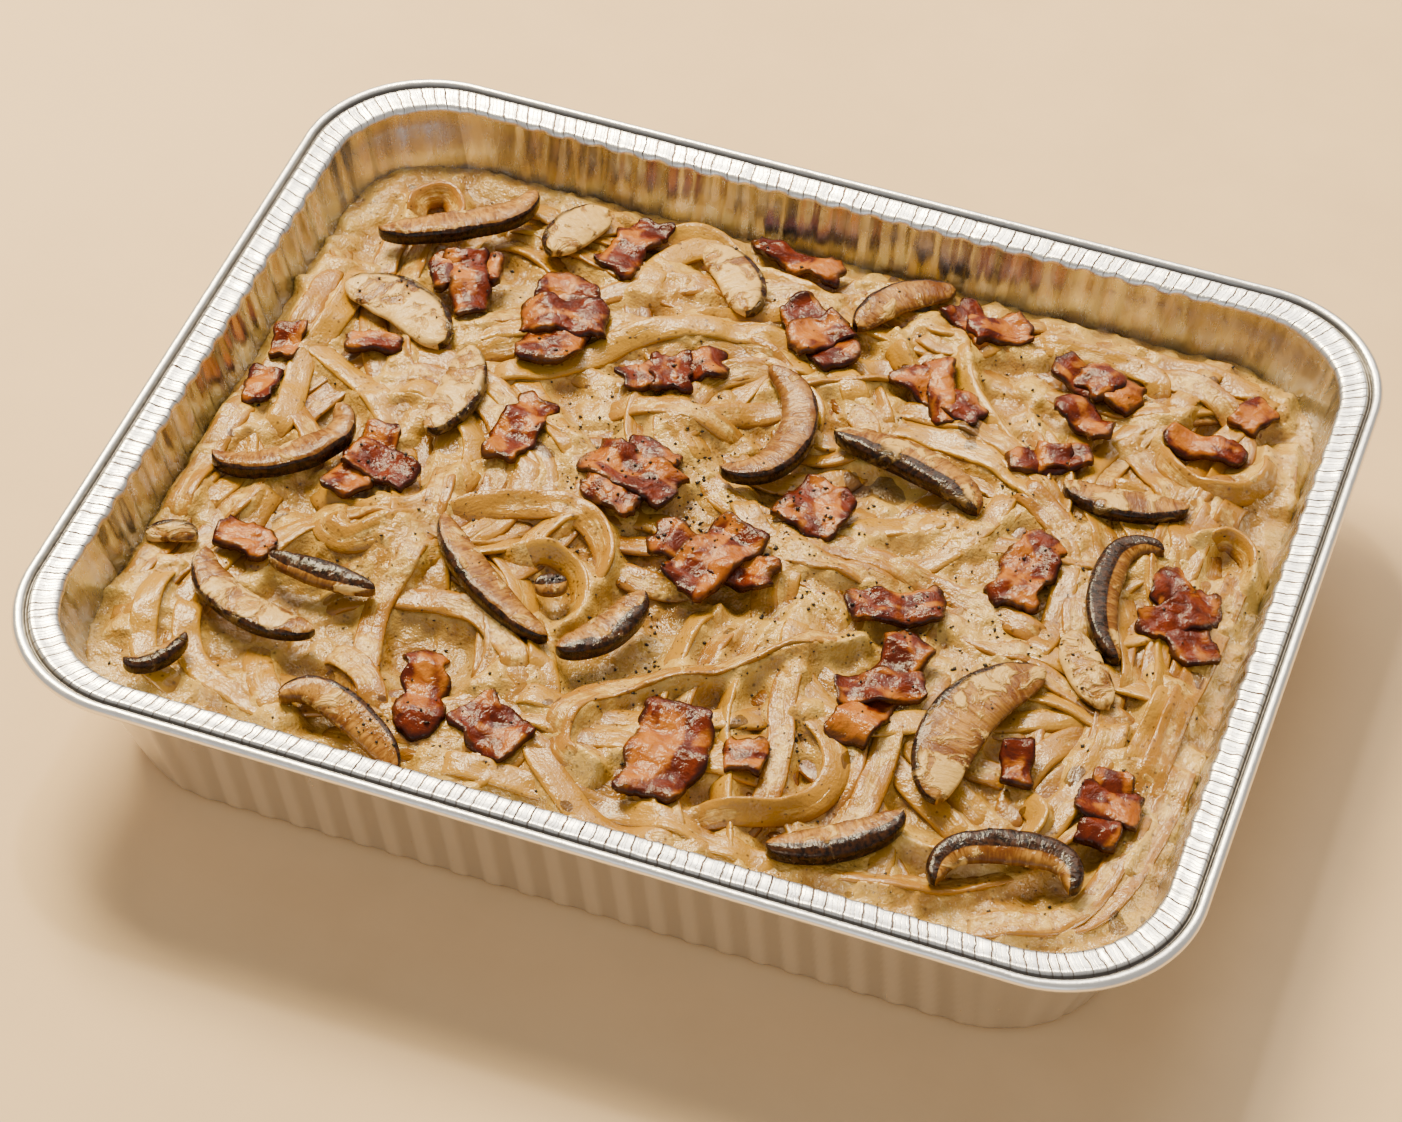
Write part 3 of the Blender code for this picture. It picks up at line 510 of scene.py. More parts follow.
def hashed(x, y, z, seed):
    """A number from -1 to 1 for each whole place of a lattice."""
    n = (x * 374761393 + y * 668265263 + z * 2147483647 + seed * 974634777) & 0xFFFFFFFF
    n = ((n ^ (n >> 13)) * 1274126177) & 0xFFFFFFFF
    n = ((n ^ (n >> 16)) * 2246822519) & 0xFFFFFFFF
    return ((n ^ (n >> 15)) & 0xFFFFFF) / 0x7FFFFF - 1.0


def lumps(x, y, size, seed, z=0.0):
    """Smooth noise from -1 to 1 whose lumps are about size across, at places in millimetres."""
    places = np.broadcast_arrays(*(np.asarray(p, float) / size for p in (x, y, z)))
    whole = [np.floor(p).astype(np.int64) for p in places]
    part = [p - w for p, w in zip(places, whole)]
    part = [p * p * (3 - 2 * p) for p in part]
    total = 0.0
    for dx in (0, 1):
        for dy in (0, 1):
            for dz in (0, 1):
                weight = 1.0
                for bit, p in zip((dx, dy, dz), part):
                    weight = weight * (p if bit else 1 - p)
                total = total + weight * hashed(whole[0] + dx, whole[1] + dy, whole[2] + dz, seed)
    return total


def step(value, low, high):
    part = np.clip((value - low) / (high - low), 0, 1)
    return part * part * (3 - 2 * part)


def blurred(field, cells):
    """The field softened by a bell of a number of cells."""
    reach = int(math.ceil(cells * 2.5))
    bell = np.exp(-0.5 * (np.arange(-reach, reach + 1) / cells) ** 2)
    bell /= bell.sum()
    for axis in (0, 1):
        wide = np.moveaxis(field, axis, -1)
        padded = np.pad(wide, [(0, 0), (reach, reach)], mode="edge")
        wide = sum(weight * padded[:, i : i + wide.shape[1]] for i, weight in enumerate(bell))
        field = np.moveaxis(wide, -1, axis)
    return field


def bridged(field, cell, bend, reach):
    """The field with its gaps filled as a thick liquid fills them, whose surface bends by bend at most."""
    for rising in (True, False):
        for axis in (0, 1):
            best = field
            for shift in range(1, int(reach / cell) + 1):
                drop = bend / 2 * (shift * cell) ** 2
                for way in (-shift, shift):
                    moved = np.roll(field, way, axis)
                    best = np.maximum(best, moved - drop) if rising else np.minimum(best, moved + drop)
            field = best
    return field


# Meshes


def add_piece(name, points, faces, finish, stands_for, facts=None):
    """A smooth mesh object from points in millimetres, riding on the frame."""
    mesh = bpy.data.meshes.new(name)
    mesh.from_pydata((np.asarray(points) * MM).tolist(), [], faces)
    mesh.validate()
    mesh.shade_smooth()
    for key, values in (facts or {}).items():
        layer = mesh.attributes.new(key, "FLOAT", "POINT")
        layer.data.foreach_set("value", np.asarray(values, np.float32))
    mesh.materials.append(finish)
    piece = bpy.data.objects.new(name, mesh)
    bpy.context.scene.collection.objects.link(piece)
    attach(piece, "root")
    if stands_for:
        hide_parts(stands_for)
    return piece


def ring_faces(rings, around):
    """Faces of a closed tube of rings, each of a number of points around."""
    faces = []
    for near in range(0, (rings - 1) * around, around):
        for a in range(around):
            b = (a + 1) % around
            faces.append((near + a, near + b, near + around + b, near + around + a))
    faces.append(tuple(reversed(range(around))))
    faces.append(tuple(range((rings - 1) * around, rings * around)))
    return faces


def spread(shape, **facts):
    """Facts given as one number, by row or by point, as a run over all points of a grid."""
    return {key: np.broadcast_to(value, shape).ravel() for key, value in facts.items()}


def lengths(points):
    """How far along a line of points each one is."""
    return np.concatenate([[0], np.cumsum(np.hypot(*np.diff(points, axis=0).T))])


def tree_of(mesh, unit):
    """A mesh ready for rays, its places in a unit of so many metres."""
    corners = [tuple(v.co / unit) for v in mesh.vertices]
    return BVHTree.FromPolygons(corners, [p.vertices[:] for p in mesh.polygons])


def squares(grid):
    """The four corners of each square of a grid."""
    return np.stack([grid[:-1, :-1], grid[1:, :-1], grid[1:, 1:], grid[:-1, 1:]], -1)


class Gathered:
    """Parts of a mesh, gathered to be made into one piece."""

    def __init__(self):
        self.points, self.faces, self.facts = [], [], {}

    def add(self, points, faces, facts):
        start = sum(len(p) for p in self.points)
        self.points.append(points)
        self.faces += [[i + start for i in face] for face in faces]
        for key, value in facts.items():
            self.facts.setdefault(key, []).append(value)

    def parts(self):
        return np.vstack(self.points), self.faces, {k: np.concatenate(v) for k, v in self.facts.items()}


# The tray


def corner_radius(inset):
    low = RIM_CORNER + (FLANGE_CORNER - RIM_CORNER) * inset / RIM_WIDTH
    high = FLANGE_CORNER + (BASE_CORNER - FLANGE_CORNER) * (inset - RIM_WIDTH) / (BASE_INSET - RIM_WIDTH)
    return np.where(inset < RIM_WIDTH, low, high)


def wall_inset(height):
    top = TRAY_HEIGHT - FLANGE_DROP
    return RIM_WIDTH + (BASE_INSET + FOIL - RIM_WIDTH) * (top - height) / (top - BASE_ROUND)


def distance_inside(x, y, inset):
    """How far a place is inside the tray's outline at an inset. It is negative outside."""
    radius = corner_radius(inset)
    over_x = np.abs(x) - (RIM_LONG / 2 - inset - radius)
    over_y = np.abs(y) - (RIM_SHORT / 2 - inset - radius)
    outside = np.hypot(np.maximum(over_x, 0), np.maximum(over_y, 0))
    return radius - outside - np.minimum(np.maximum(over_x, over_y), 0)


def wall_push(x, y):
    """How far the fluted wall stands in from its plain face at a place, from 0 to the flute's depth."""
    radius = float(corner_radius(BASE_INSET))
    flat_x = RIM_LONG / 2 - BASE_INSET - radius
    flat_y = RIM_SHORT / 2 - BASE_INSET - radius
    on_short = np.abs(x) - RIM_LONG / 2 > np.abs(y) - RIM_SHORT / 2
    run = np.where(on_short, y, x)
    flat = np.where(on_short, flat_y, flat_x)
    wave = 0.5 + 0.5 * np.cos(2 * math.pi * run / FLUTE_PITCH + 0.5 * lumps(run, 0, 40, 5))
    side = step(wave, 0.1, 0.75) * step(flat + 4 - np.abs(run), 0, 8)
    angle = np.arctan2(np.maximum(np.abs(y) - flat_y, 0), np.maximum(np.abs(x) - flat_x, 1e-6)) * radius
    quarter = np.sign(x) * 300 + np.sign(y) * 900
    gather = lumps(angle + quarter, 0, 1.9, 6) * 0.6 + lumps(angle + quarter, 0, 3.6, 7) * 0.5
    corner = np.clip(0.45 + 0.6 * gather, 0, 1) * step(np.abs(run) - flat, -3, 5)
    return FLUTE_DEPTH * np.clip(side * 0.9 + corner * 0.8, 0, 1)


# Steps round the tray, along a long side, along a short side and round a corner
LONG_STEPS, SHORT_STEPS, CORNER_STEPS = 270, 204, 72


def outline(inset):
    """Points and outward directions round the tray at an inset, anticlockwise from its right side."""
    radius = float(corner_radius(inset))
    half = np.array([RIM_LONG / 2 - inset, RIM_SHORT / 2 - inset])
    places, outward = [], []
    signs = [(1, -1, SHORT_STEPS), (1, 1, LONG_STEPS), (-1, 1, SHORT_STEPS), (-1, -1, LONG_STEPS)]
    for quarter, (sign_x, sign_y, steps) in enumerate(signs):
        next_x, next_y, _ = signs[(quarter + 1) % 4]
        start = (half - radius) * (sign_x, sign_y)
        end = (half - radius) * (next_x, next_y)
        turn = quarter * math.pi / 2
        out = np.array([math.cos(turn), math.sin(turn)])
        for part in np.arange(steps) / steps:
            places.append(start + (end - start) * part + out * radius)
            outward.append(out)
        for part in np.arange(CORNER_STEPS) / CORNER_STEPS:
            angle = turn + part * math.pi / 2
            direction = np.array([math.cos(angle), math.sin(angle)])
            places.append(end + direction * radius)
            outward.append(direction)
    return np.array(places), np.array(outward)


def creases(run, low, high, width, source):
    """Narrow folds at uneven spacings along a run, each from 0 to 1 deep."""
    total = run[-1] + (run[-1] - run[-2])
    gaps = source.uniform(low, high, int(total / low) + 2)
    at = np.cumsum(gaps)
    at = at[at < total - low]
    deep = source.uniform(0.35, 1.0, len(at))
    away = np.abs(run[:, None] - at[None, :])
    away = np.minimum(away, total - away)
    return (np.exp(-((away / width) ** 2)) * deep).max(1)


# The rim's section, from under the flange round the bead and back over the flange to the wall. Each level is
# (inset from the bead, depth below the top, share of the flutes, share of the pleats).
RIM_SECTION = [
    (RIM_WIDTH - FOIL + 0.3, 2.5, 1, 0.2), (RIM_WIDTH - FOIL - 0.1, 1.9, 0.9, 0.6),
    (RIM_WIDTH - FOIL - 0.8, 1.7, 0.4, 1), (7.5, 1.55, 0, 1), (5.2, 1.25, 0, 1), (4.4, 1.3, 0, 0.8),
    (3.7, 2.0, 0, 0.4), (3.1, 2.8, 0, 0), (2.4, 3.15, 0, 0), (BEAD / 2, BEAD, 0, 0), (0.8, 2.95, 0, 0),
    (0.25, 2.4, 0, 0), (0, BEAD / 2, 0, 0), (0.2, 0.85, 0, 0), (0.75, 0.25, 0, 0), (BEAD / 2, 0, 0, 0),
    (2.4, 0.22, 0, 0), (2.95, 0.8, 0, 0.1), (3.2, 1.5, 0, 0.2), (3.55, 1.6, 0, 0.3), (3.95, 0.95, 0, 0.5),
    (4.4, 0.4, 0, 0.7), (4.9, 0.3, 0, 0.9), (5.6, 0.45, 0, 1), (6.6, 0.7, 0, 1), (7.8, 0.85, 0, 1),
    (9.0, 0.9, 0, 1), (9.9, 0.95, 0.1, 1), (RIM_WIDTH, 1.15, 0.3, 0.9),
    (RIM_WIDTH + 0.35, 1.7, 0.6, 0.5), (RIM_WIDTH + 0.6, 2.4, 0.9, 0.2),
]


def foil_tray(finish):
    source = np.random.default_rng(3)
    top = TRAY_HEIGHT
    run = lengths(outline(0.0)[0])
    pleats = creases(run, 2.2, 5.2, 0.5, source)
    fine_pleats = creases(run, 1.2, 2.6, 0.35, source)
    dents = creases(run, 9.0, 26.0, 1.6, source)
    # Each level is (inset, height, share of the flutes, share of the pleats).
    outer_wall = [(wall_inset(h) - FOIL, h, 1, 0) for h in np.linspace(BASE_ROUND + 4, top - 4, 12)]
    inner_wall = [(wall_inset(h), h, 1, 0) for h in np.linspace(top - 3.2, BASE_ROUND + 0.8, 14)]
    levels = [
        (60, 0.7, 0, 0), (34, 0.5, 0, 0), (BASE_INSET + 5, 0.1, 0, 0), (BASE_INSET + BASE_ROUND, 0, 0.2, 0),
        (BASE_INSET + 1.2, 0.35, 0.5, 0), (BASE_INSET + 0.35, 1.2, 0.8, 0), (BASE_INSET, BASE_ROUND, 1, 0),
        *outer_wall,
        *[(inset, top - below, flutes, folds) for inset, below, flutes, folds in RIM_SECTION],
        *inner_wall,
        (BASE_INSET + 1.5, 1.4, 0.6, 0), (BASE_INSET + BASE_ROUND, FOIL, 0.2, 0),
        (34, 0.9, 0, 0), (60, 1.1, 0, 0),
    ]
    points, flute_shading, channel_shade = [], [], []
    for inset, height, flutes, folds in levels:
        places, outward = outline(inset)
        push = wall_push(*places.T) * flutes
        level = height - (pleats * 0.14 + fine_pleats * 0.04 + dents * 0.25) * folds
        sway = 0.18 * lumps(*places.T, 38, 8) * (1 if 4 < height < 52 else 0)
        teeth = (0.35 * pleats + 0.2 * fine_pleats) * folds if inset > 9 else 0.0
        places = places - outward * (push + sway + teeth)[:, None]
        points.append(np.column_stack([places, level]))
        # How deep each point sits in a flute, from 0 to 1; the finish paints shade by it.
        flute_shading.append(push / FLUTE_DEPTH)
        # The narrow channel between the bead and the flange gets painted shade.
        in_channel = 2.9 < inset < 4.0 and height > top - 1.9
        channel_shade.append(step(top - height, 0.3, 0.9) if in_channel else 0.0)
    around = len(run)
    lining = len(inner_wall) + 4
    facts = {
        "run": np.tile(run, len(levels)),
        "channel_shade": np.repeat(channel_shade, around),
        "flute_shade": np.concatenate(flute_shading),
        "pleat": np.repeat([folds for _, _, _, folds in levels], around),
        "inner": np.repeat([0.0] * (len(levels) - lining) + [1.0] * lining, around),
    }
    faces = ring_faces(len(levels), around)
    return add_piece("crimped_foil_tray", np.vstack(points), faces, finish, "foil_tray", facts)


# The food's ground


def core_height(x, y):
    inside = np.maximum(distance_inside(x, y, RIM_WIDTH), 0)
    rise = 1 - np.exp(-inside / CROWN_REACH)
    swell = np.sin(x / 21 + 0.8) * np.cos(y / 17 - 0.4) + 0.6 * np.sin((x + 1.7 * y) / 13)
    return TRAY_HEIGHT - EDGE_DROP + (EDGE_DROP - CROWN_DROP) * rise + SWELL * swell * rise


class Pad:
    """The upper and lower faces of a CAD topping, as soft height fields over its box."""

    def __init__(self, name, cell=1.0, margin=5.0):
        low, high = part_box(name)
        tree = tree_of(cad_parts[name].data, MM)
        self.low = np.array(low[:2]) / MM - margin
        self.cell = cell
        size = np.ceil(((np.array(high[:2]) / MM + margin) - self.low) / cell).astype(int) + 1
        self.top = np.full(size, np.nan)
        self.under = np.full(size, np.nan)
        for i in range(size[0]):
            for j in range(size[1]):
                x, y = self.low + np.array((i, j)) * cell
                hit = tree.ray_cast((x, y, 100), (0, 0, -1))[0]
                if hit:
                    self.top[i, j] = hit.z
                    self.under[i, j] = tree.ray_cast((x, y, -10), (0, 0, 1))[0].z
        self.inside = ~np.isnan(self.top)
        self.top_soft = self.fill(self.top)
        self.under_soft = self.fill(self.under)

    def fill(self, field):
        """The field spread past the piece's edge and softened."""
        known = self.inside.astype(float)
        value = np.where(self.inside, field, 0.0)
        near = blurred(value, 1.2) / np.maximum(blurred(known, 1.2), 1e-4)
        far = blurred(value, 5.0) / np.maximum(blurred(known, 5.0), 1e-6)
        sure = np.clip(blurred(known, 1.2) * 3, 0, 1)
        return near * sure + far * (1 - sure)

    def read(self, field, x, y):
        u = np.clip((np.asarray(x) - self.low[0]) / self.cell, 0, field.shape[0] - 1.001)
        v = np.clip((np.asarray(y) - self.low[1]) / self.cell, 0, field.shape[1] - 1.001)
        i, j = u.astype(int), v.astype(int)
        a, b = u - i, v - j
        return (
            field[i, j] * (1 - a) * (1 - b) + field[i + 1, j] * a * (1 - b)
            + field[i, j + 1] * (1 - a) * b + field[i + 1, j + 1] * a * b
        )


CELL = 0.8
# The depth in millimetres over which the painted shade in the food's hollows grows to full.
HOLLOW_SHADE_DEPTH = 2.6


class Ground:
    """A map of the height reached so far over the tray, with the roof that the toppings set."""

    def __init__(self, pads):
        self.xs = np.arange(-RIM_LONG / 2, RIM_LONG / 2, CELL)
        self.ys = np.arange(-RIM_SHORT / 2, RIM_SHORT / 2, CELL)
        x, y = self.grid = np.meshgrid(self.xs, self.ys, indexing="ij")
        core = core_height(x, y)
        roof = np.full(core.shape, 99.0)
        for pad in pads:
            i, j = self.cells(*(pad.low[:, None] + np.argwhere(pad.inside).T * pad.cell))
            for di in (0, 1):
                for dj in (0, 1):
                    np.minimum.at(roof, (i + di, j + dj), pad.under[pad.inside] + 0.7)
        for _ in range(12):
            spread = roof.copy()
            for axis in (0, 1):
                for way in (-1, 1):
                    spread = np.minimum(spread, np.roll(roof, way, axis) + 0.42)
            roof = spread
        self.roof = roof
        self.core = core
        lumpy = 1.3 * lumps(x, y, 9, 21) + 0.8 * lumps(x, y, 4, 22)
        open_food = step(distance_inside(x, y, 16.0), 2, 16)
        self.heights = core - 0.9 - 3.2 * open_food + lumpy * (0.35 + 0.65 * open_food)

    def hollow_shade(self, points):
        """How far each point lies down in a hollow of the finished food, from 0 to 1, which the finishes
        paint as shade.
        """
        around = self.soft[self.cells(points[:, 0], points[:, 1])]
        return np.clip((around + 0.5 - points[:, 2]) / HOLLOW_SHADE_DEPTH, 0, 1)

    def cells(self, x, y):
        i = np.clip(np.round((x - self.xs[0]) / CELL).astype(int), 0, len(self.xs) - 1)
        j = np.clip(np.round((y - self.ys[0]) / CELL).astype(int), 0, len(self.ys) - 1)
        return i, j


# The fettuccine


def smooth_route(points, gap):
    """Points an even gap apart on a smooth curve through the route's own points."""
    p = np.array(points, float)
    p = np.vstack([2 * p[0] - p[1], p, 2 * p[-1] - p[-2]])
    fine = []
    for a, b, c, d in zip(p, p[1:], p[2:], p[3:]):
        for t in np.linspace(0, 1, 16, endpoint=False):
            square, cube = 2 * a - 5 * b + 4 * c - d, 3 * b - a - 3 * c + d
            fine.append(0.5 * (2 * b + (c - a) * t + square * t**2 + cube * t**3))
    fine.append(p[-2])
    fine = np.array(fine)
    runs = lengths(fine)
    at = np.linspace(0, runs[-1], max(4, round(runs[-1] / gap) + 1))
    return np.stack([np.interp(at, runs, fine[:, 0]), np.interp(at, runs, fine[:, 1])], 1)


def eased(values, width):
    """A run of values softened along its length."""
    reach = max(1, round(width))
    bell = np.hanning(2 * reach + 3)[1:-1]
    return np.convolve(np.pad(values, reach, mode="edge"), bell / bell.sum(), mode="valid")


FILLER_BUNDLES = 46
MOST_ABREAST = 3
STRIDE = 12


def filler_routes(source):
    """Bundles of ribbons side by side, which turn slowly as they run."""
    routes = []
    for _ in range(FILLER_BUNDLES):
        x, y = source.uniform(-136, 136), source.uniform(-106, 106)
        heading = source.uniform(0, 2 * math.pi)
        near_side = abs(x) / RIM_LONG > abs(y) / RIM_SHORT
        if max(abs(x) / 138, abs(y) / 108) > 0.78:
            heading = (math.pi / 2 if near_side else 0) + source.normal(0, 0.25)
        turning = source.normal(0, source.choice([0.14, 0.42]))
        steps = source.integers(5, 11)
        roll = source.normal(0, 18)
        apart = source.uniform(6.0, 8.8)
        for lane in range(source.integers(1, MOST_ABREAST + 1)):
            points, px, py, angle = [], x, y, heading
            for _ in range(steps):
                points.append((px - math.sin(angle) * apart * lane, py + math.cos(angle) * apart * lane))
                px, py = px + math.cos(angle) * STRIDE, py + math.sin(angle) * STRIDE
                angle += turning + source.normal(0, 0.09)
            routes.append((points, roll + source.normal(0, 9)))
    return routes


ACROSS = np.array([-1, -0.96, -0.82, -0.45, 0, 0.45, 0.82, 0.96, 1, 0.8, 0, -0.8])
THICK = np.array([0, 0.55, 0.9, 1, 0.97, 1, 0.9, 0.55, 0, -0.9, -1, -0.9])
GAP = 1.6
SHORTEST_RUN = 9


class Ribbons:
    """Ribbons laid one after another over the ground, gathered into one mesh."""

    def __init__(self, ground, source):
        self.ground = ground
        self.source = source
        self.gathered = Gathered()
        self.count = 0

    def lay(self, points, roll, sink, proud):
        """Lays a ribbon on the ground, sunk in by sink and held under a height proud above the core."""
        ground = self.ground
        route = smooth_route(points, GAP)
        along = np.gradient(route, axis=0)
        along /= np.hypot(*along.T)[:, None]
        side = np.stack([-along[:, 1], along[:, 0]], 1)
        n = len(route)
        width = RIBBON_WIDTH * self.source.uniform(0.9, 1.04)
        run = np.arange(n) * GAP
        twist = 17 * lumps(run, self.count * 7.0, 26, 31)
        tilt = np.radians(roll + twist)
        reaches = np.linspace(-0.5, 0.5, 11) * width
        spot_x = route[:, :1] + side[:, :1] * reaches * np.cos(tilt)[:, None]
        spot_y = route[:, 1:] + side[:, 1:] * reaches * np.cos(tilt)[:, None]
        cells = ground.cells(spot_x, spot_y)
        under = ground.heights[cells]
        roof = ground.roof[cells].min(1)
        reach = 5
        left, right = eased(under[:, :4].mean(1), reach), eased(under[:, -4:].mean(1), reach)
        lean = np.arctan(np.clip((right - left) / (width * 0.8), -0.42, 0.42)) * 0.8
        tilt = tilt + lean
        flat_under = under - np.tan(lean)[:, None] * reaches
        top_under = np.sort(flat_under, 1)[:, -3:].mean(1)
        high = RIBBON_WIDTH / 2 * np.abs(np.sin(np.radians(roll + twist))) * 0.62 + RIBBON_THICK / 2
        rest = np.maximum(eased(top_under, reach), eased(top_under, 2) - sink)
        middle = rest + high - sink
        core = ground.core[ground.cells(route[:, 0], route[:, 1])]
        most = core + proud - 1.0
        over = middle - most
        eased_over = np.where(over > 6, 1.75, (over + 1) / (1 + (over + 1) / 1.75))
        middle = np.where(over > -1, most - 1 + eased_over, middle)
        middle = np.minimum(middle, roof - high * 0.8)
        middle = np.minimum(middle, RIBBON_CEILING - high)
        middle = eased(middle, 3)
        inside = distance_inside(route[:, 0], route[:, 1], wall_inset(core))
        keep = inside > width / 2 * np.cos(tilt) + 0.9
        turns = np.diff(np.concatenate([[0], keep, [0]]))
        tint = self.source.uniform(0, 1)
        for first, last in zip(np.flatnonzero(turns > 0), np.flatnonzero(turns < 0)):
            if last - first < SHORTEST_RUN:
                continue
            part = slice(first, last)
            self.add_run(route[part], side[part], tilt[part], middle[part], width, tint)
            tops = middle[part, None] + np.sin(tilt[part])[:, None] * reaches + RIBBON_THICK / 2 * 0.95
            np.maximum.at(ground.heights, tuple(cell[part] for cell in cells), tops)

    def add_run(self, route, side, tilt, middle, width, tint):
        n = len(route)
        place = np.arange(n)
        ends = np.minimum(place, n - 1 - place)
        middle = middle - 4.4 * np.exp(-((ends / 3.0) ** 2))
        narrow = np.where(ends < 2, 0.55 + 0.225 * ends, 1.0)
        wavy = 1 + 0.05 * lumps(place * GAP, self.count * 3.0, 14, 33)
        half = width / 2 * narrow * wavy
        across = ACROSS[None, :] * half[:, None]
        sag = 0.35 * (ACROSS[None, :] ** 2) * lumps(place * GAP, self.count * 5.0, 22, 34)[:, None] * 1.6
        thick = THICK[None, :] * RIBBON_THICK / 2 * (0.6 + 0.4 * narrow[:, None]) + sag
        cos, sin = np.cos(tilt)[:, None], np.sin(tilt)[:, None]
        flat = across * cos - thick * sin
        rise = across * sin + thick * cos
        x = route[:, :1] + side[:, :1] * flat
        y = route[:, 1:] + side[:, 1:] * flat
        z = middle[:, None] + rise
        cream = 0.55 * lumps(x, y, 4.6, 41, z) + 0.3 * lumps(x, y, 2.1, 42, z)
        z = z + cream * np.clip(THICK[None, :] + 0.3, 0, 1)
        lane, run = across + self.count * 20, place[:, None] * GAP
        facts = spread(x.shape, tint=tint, edge=np.abs(ACROSS), lane=lane, run=run)
        points = np.stack([x, y, z], -1).reshape(-1, 3)
        self.gathered.add(points, ring_faces(n, len(ACROSS)), facts)
        self.count += 1

    def piece(self, name, finish):
        points, faces, facts = self.gathered.parts()
        facts["hollow_shade"] = self.ground.hollow_shade(points)
        return add_piece(name, points, faces, finish, "fettuccine_in_cream_sauce", facts)


# The sauce


SAUCE_BASE = 1.1
SAUCE_CLEAR = 0.9
FILLET_BEND = 0.62
FILLET_REACH = 7.0


def cream_sauce(ground, finish):
    """The sauce between and over the ribbons, closed down to the tray's base."""
    (x, y), laid = ground.grid, ground.heights
    roofed = np.minimum(laid, ground.roof + 0.2)
    thin = np.clip(1.35 + 1.7 * lumps(x, y, 24, 51) + 0.9 * lumps(x, y, 9, 54), 0.2, 4.2)
    by_wall = step(distance_inside(x, y, 18.0), 0, 16)
    level = blurred(bridged(roofed, CELL, FILLET_BEND, FILLET_REACH), 0.7) - 0.4 - (thin - 0.4) * by_wall
    level = level + 0.6 * lumps(x, y, 4.6, 52) + 0.4 * lumps(x, y, 2.1, 53)
    level = np.minimum(level, ground.roof + 0.5)
    inset = wall_inset(level)
    gap = distance_inside(x, y, inset) - wall_push(x, y)
    slope = np.array(np.gradient(distance_inside(x, y, 15.0), CELL))
    slope /= np.maximum(np.hypot(*slope), 1e-6)
    pull = np.where(gap < 0, -0.35 - gap, 0.0)
    places = np.array((x, y)) + slope * pull
    # Only the squares with a corner inside the wall are kept, and their points numbered afresh.
    index = np.arange(gap.size).reshape(gap.shape)
    used, faces = np.unique(squares(index)[squares(gap > 0).any(-1)], return_inverse=True)
    faces = faces.reshape(-1, 4).tolist()
    points = np.column_stack([*places.reshape(2, -1)[:, used], level.ravel()[used]])
    ground.soft = blurred(np.maximum(np.minimum(laid, ground.roof + 1), level), 5)
    # The edge of the sheet is carried down the wall to the base, and closed there.
    halves = dict.fromkeys((p, q) for face in faces for p, q in zip(face, face[1:] + face[:1]))
    following = {q: p for p, q in halves if (q, p) not in halves}
    start = next(iter(following))
    loop = [start]
    while following[loop[-1]] != start:
        loop.append(following[loop[-1]])
    edge = points[loop]
    inward = slope.reshape(2, -1)[:, used[loop]].T
    above = loop
    for share in (0.6, 0.25, 0.0):
        height = SAUCE_BASE + (edge[:, 2] - SAUCE_BASE) * share
        ring = edge[:, :2].copy()
        for _ in range(4):
            near = distance_inside(*ring.T, wall_inset(height)) - wall_push(*ring.T)
            ring += inward * np.maximum(SAUCE_CLEAR - near, 0)[:, None]
        first = len(points)
        below = list(range(first, first + len(loop)))
        for k in range(len(loop)):
            after = (k + 1) % len(loop)
            faces.append([above[k], above[after], below[after], below[k]])
        points = np.vstack([points, np.column_stack([ring, height])])
        above = below
    faces.append(above)
    facts = {"hollow_shade": ground.hollow_shade(points)}
    return add_piece("cream_sauce", points, faces, finish, "fettuccine_in_cream_sauce", facts)


# The toppings


def mushroom_spine(turn, length, bend, curl_start, curl_end, count):
    """Points and headings along the middle of a slice, whose ends curl in on themselves."""
    sign = math.copysign(1, bend)
    t = np.linspace(0, 1, count)
    first = np.clip(1 - t / 0.2857, 0, 1)
    last = np.clip((t - 0.7143) / 0.2857, 0, 1)
    heading = np.radians(turn + (t - 0.5) * bend - sign * curl_start * first + sign * curl_end * last)
    steps = np.stack([np.cos(heading), np.sin(heading)], 1) * length / (count - 1)
    points = np.concatenate([[(0, 0)], np.cumsum((steps[1:] + steps[:-1]) / 2, axis=0)])
    return points - points.mean(0), heading


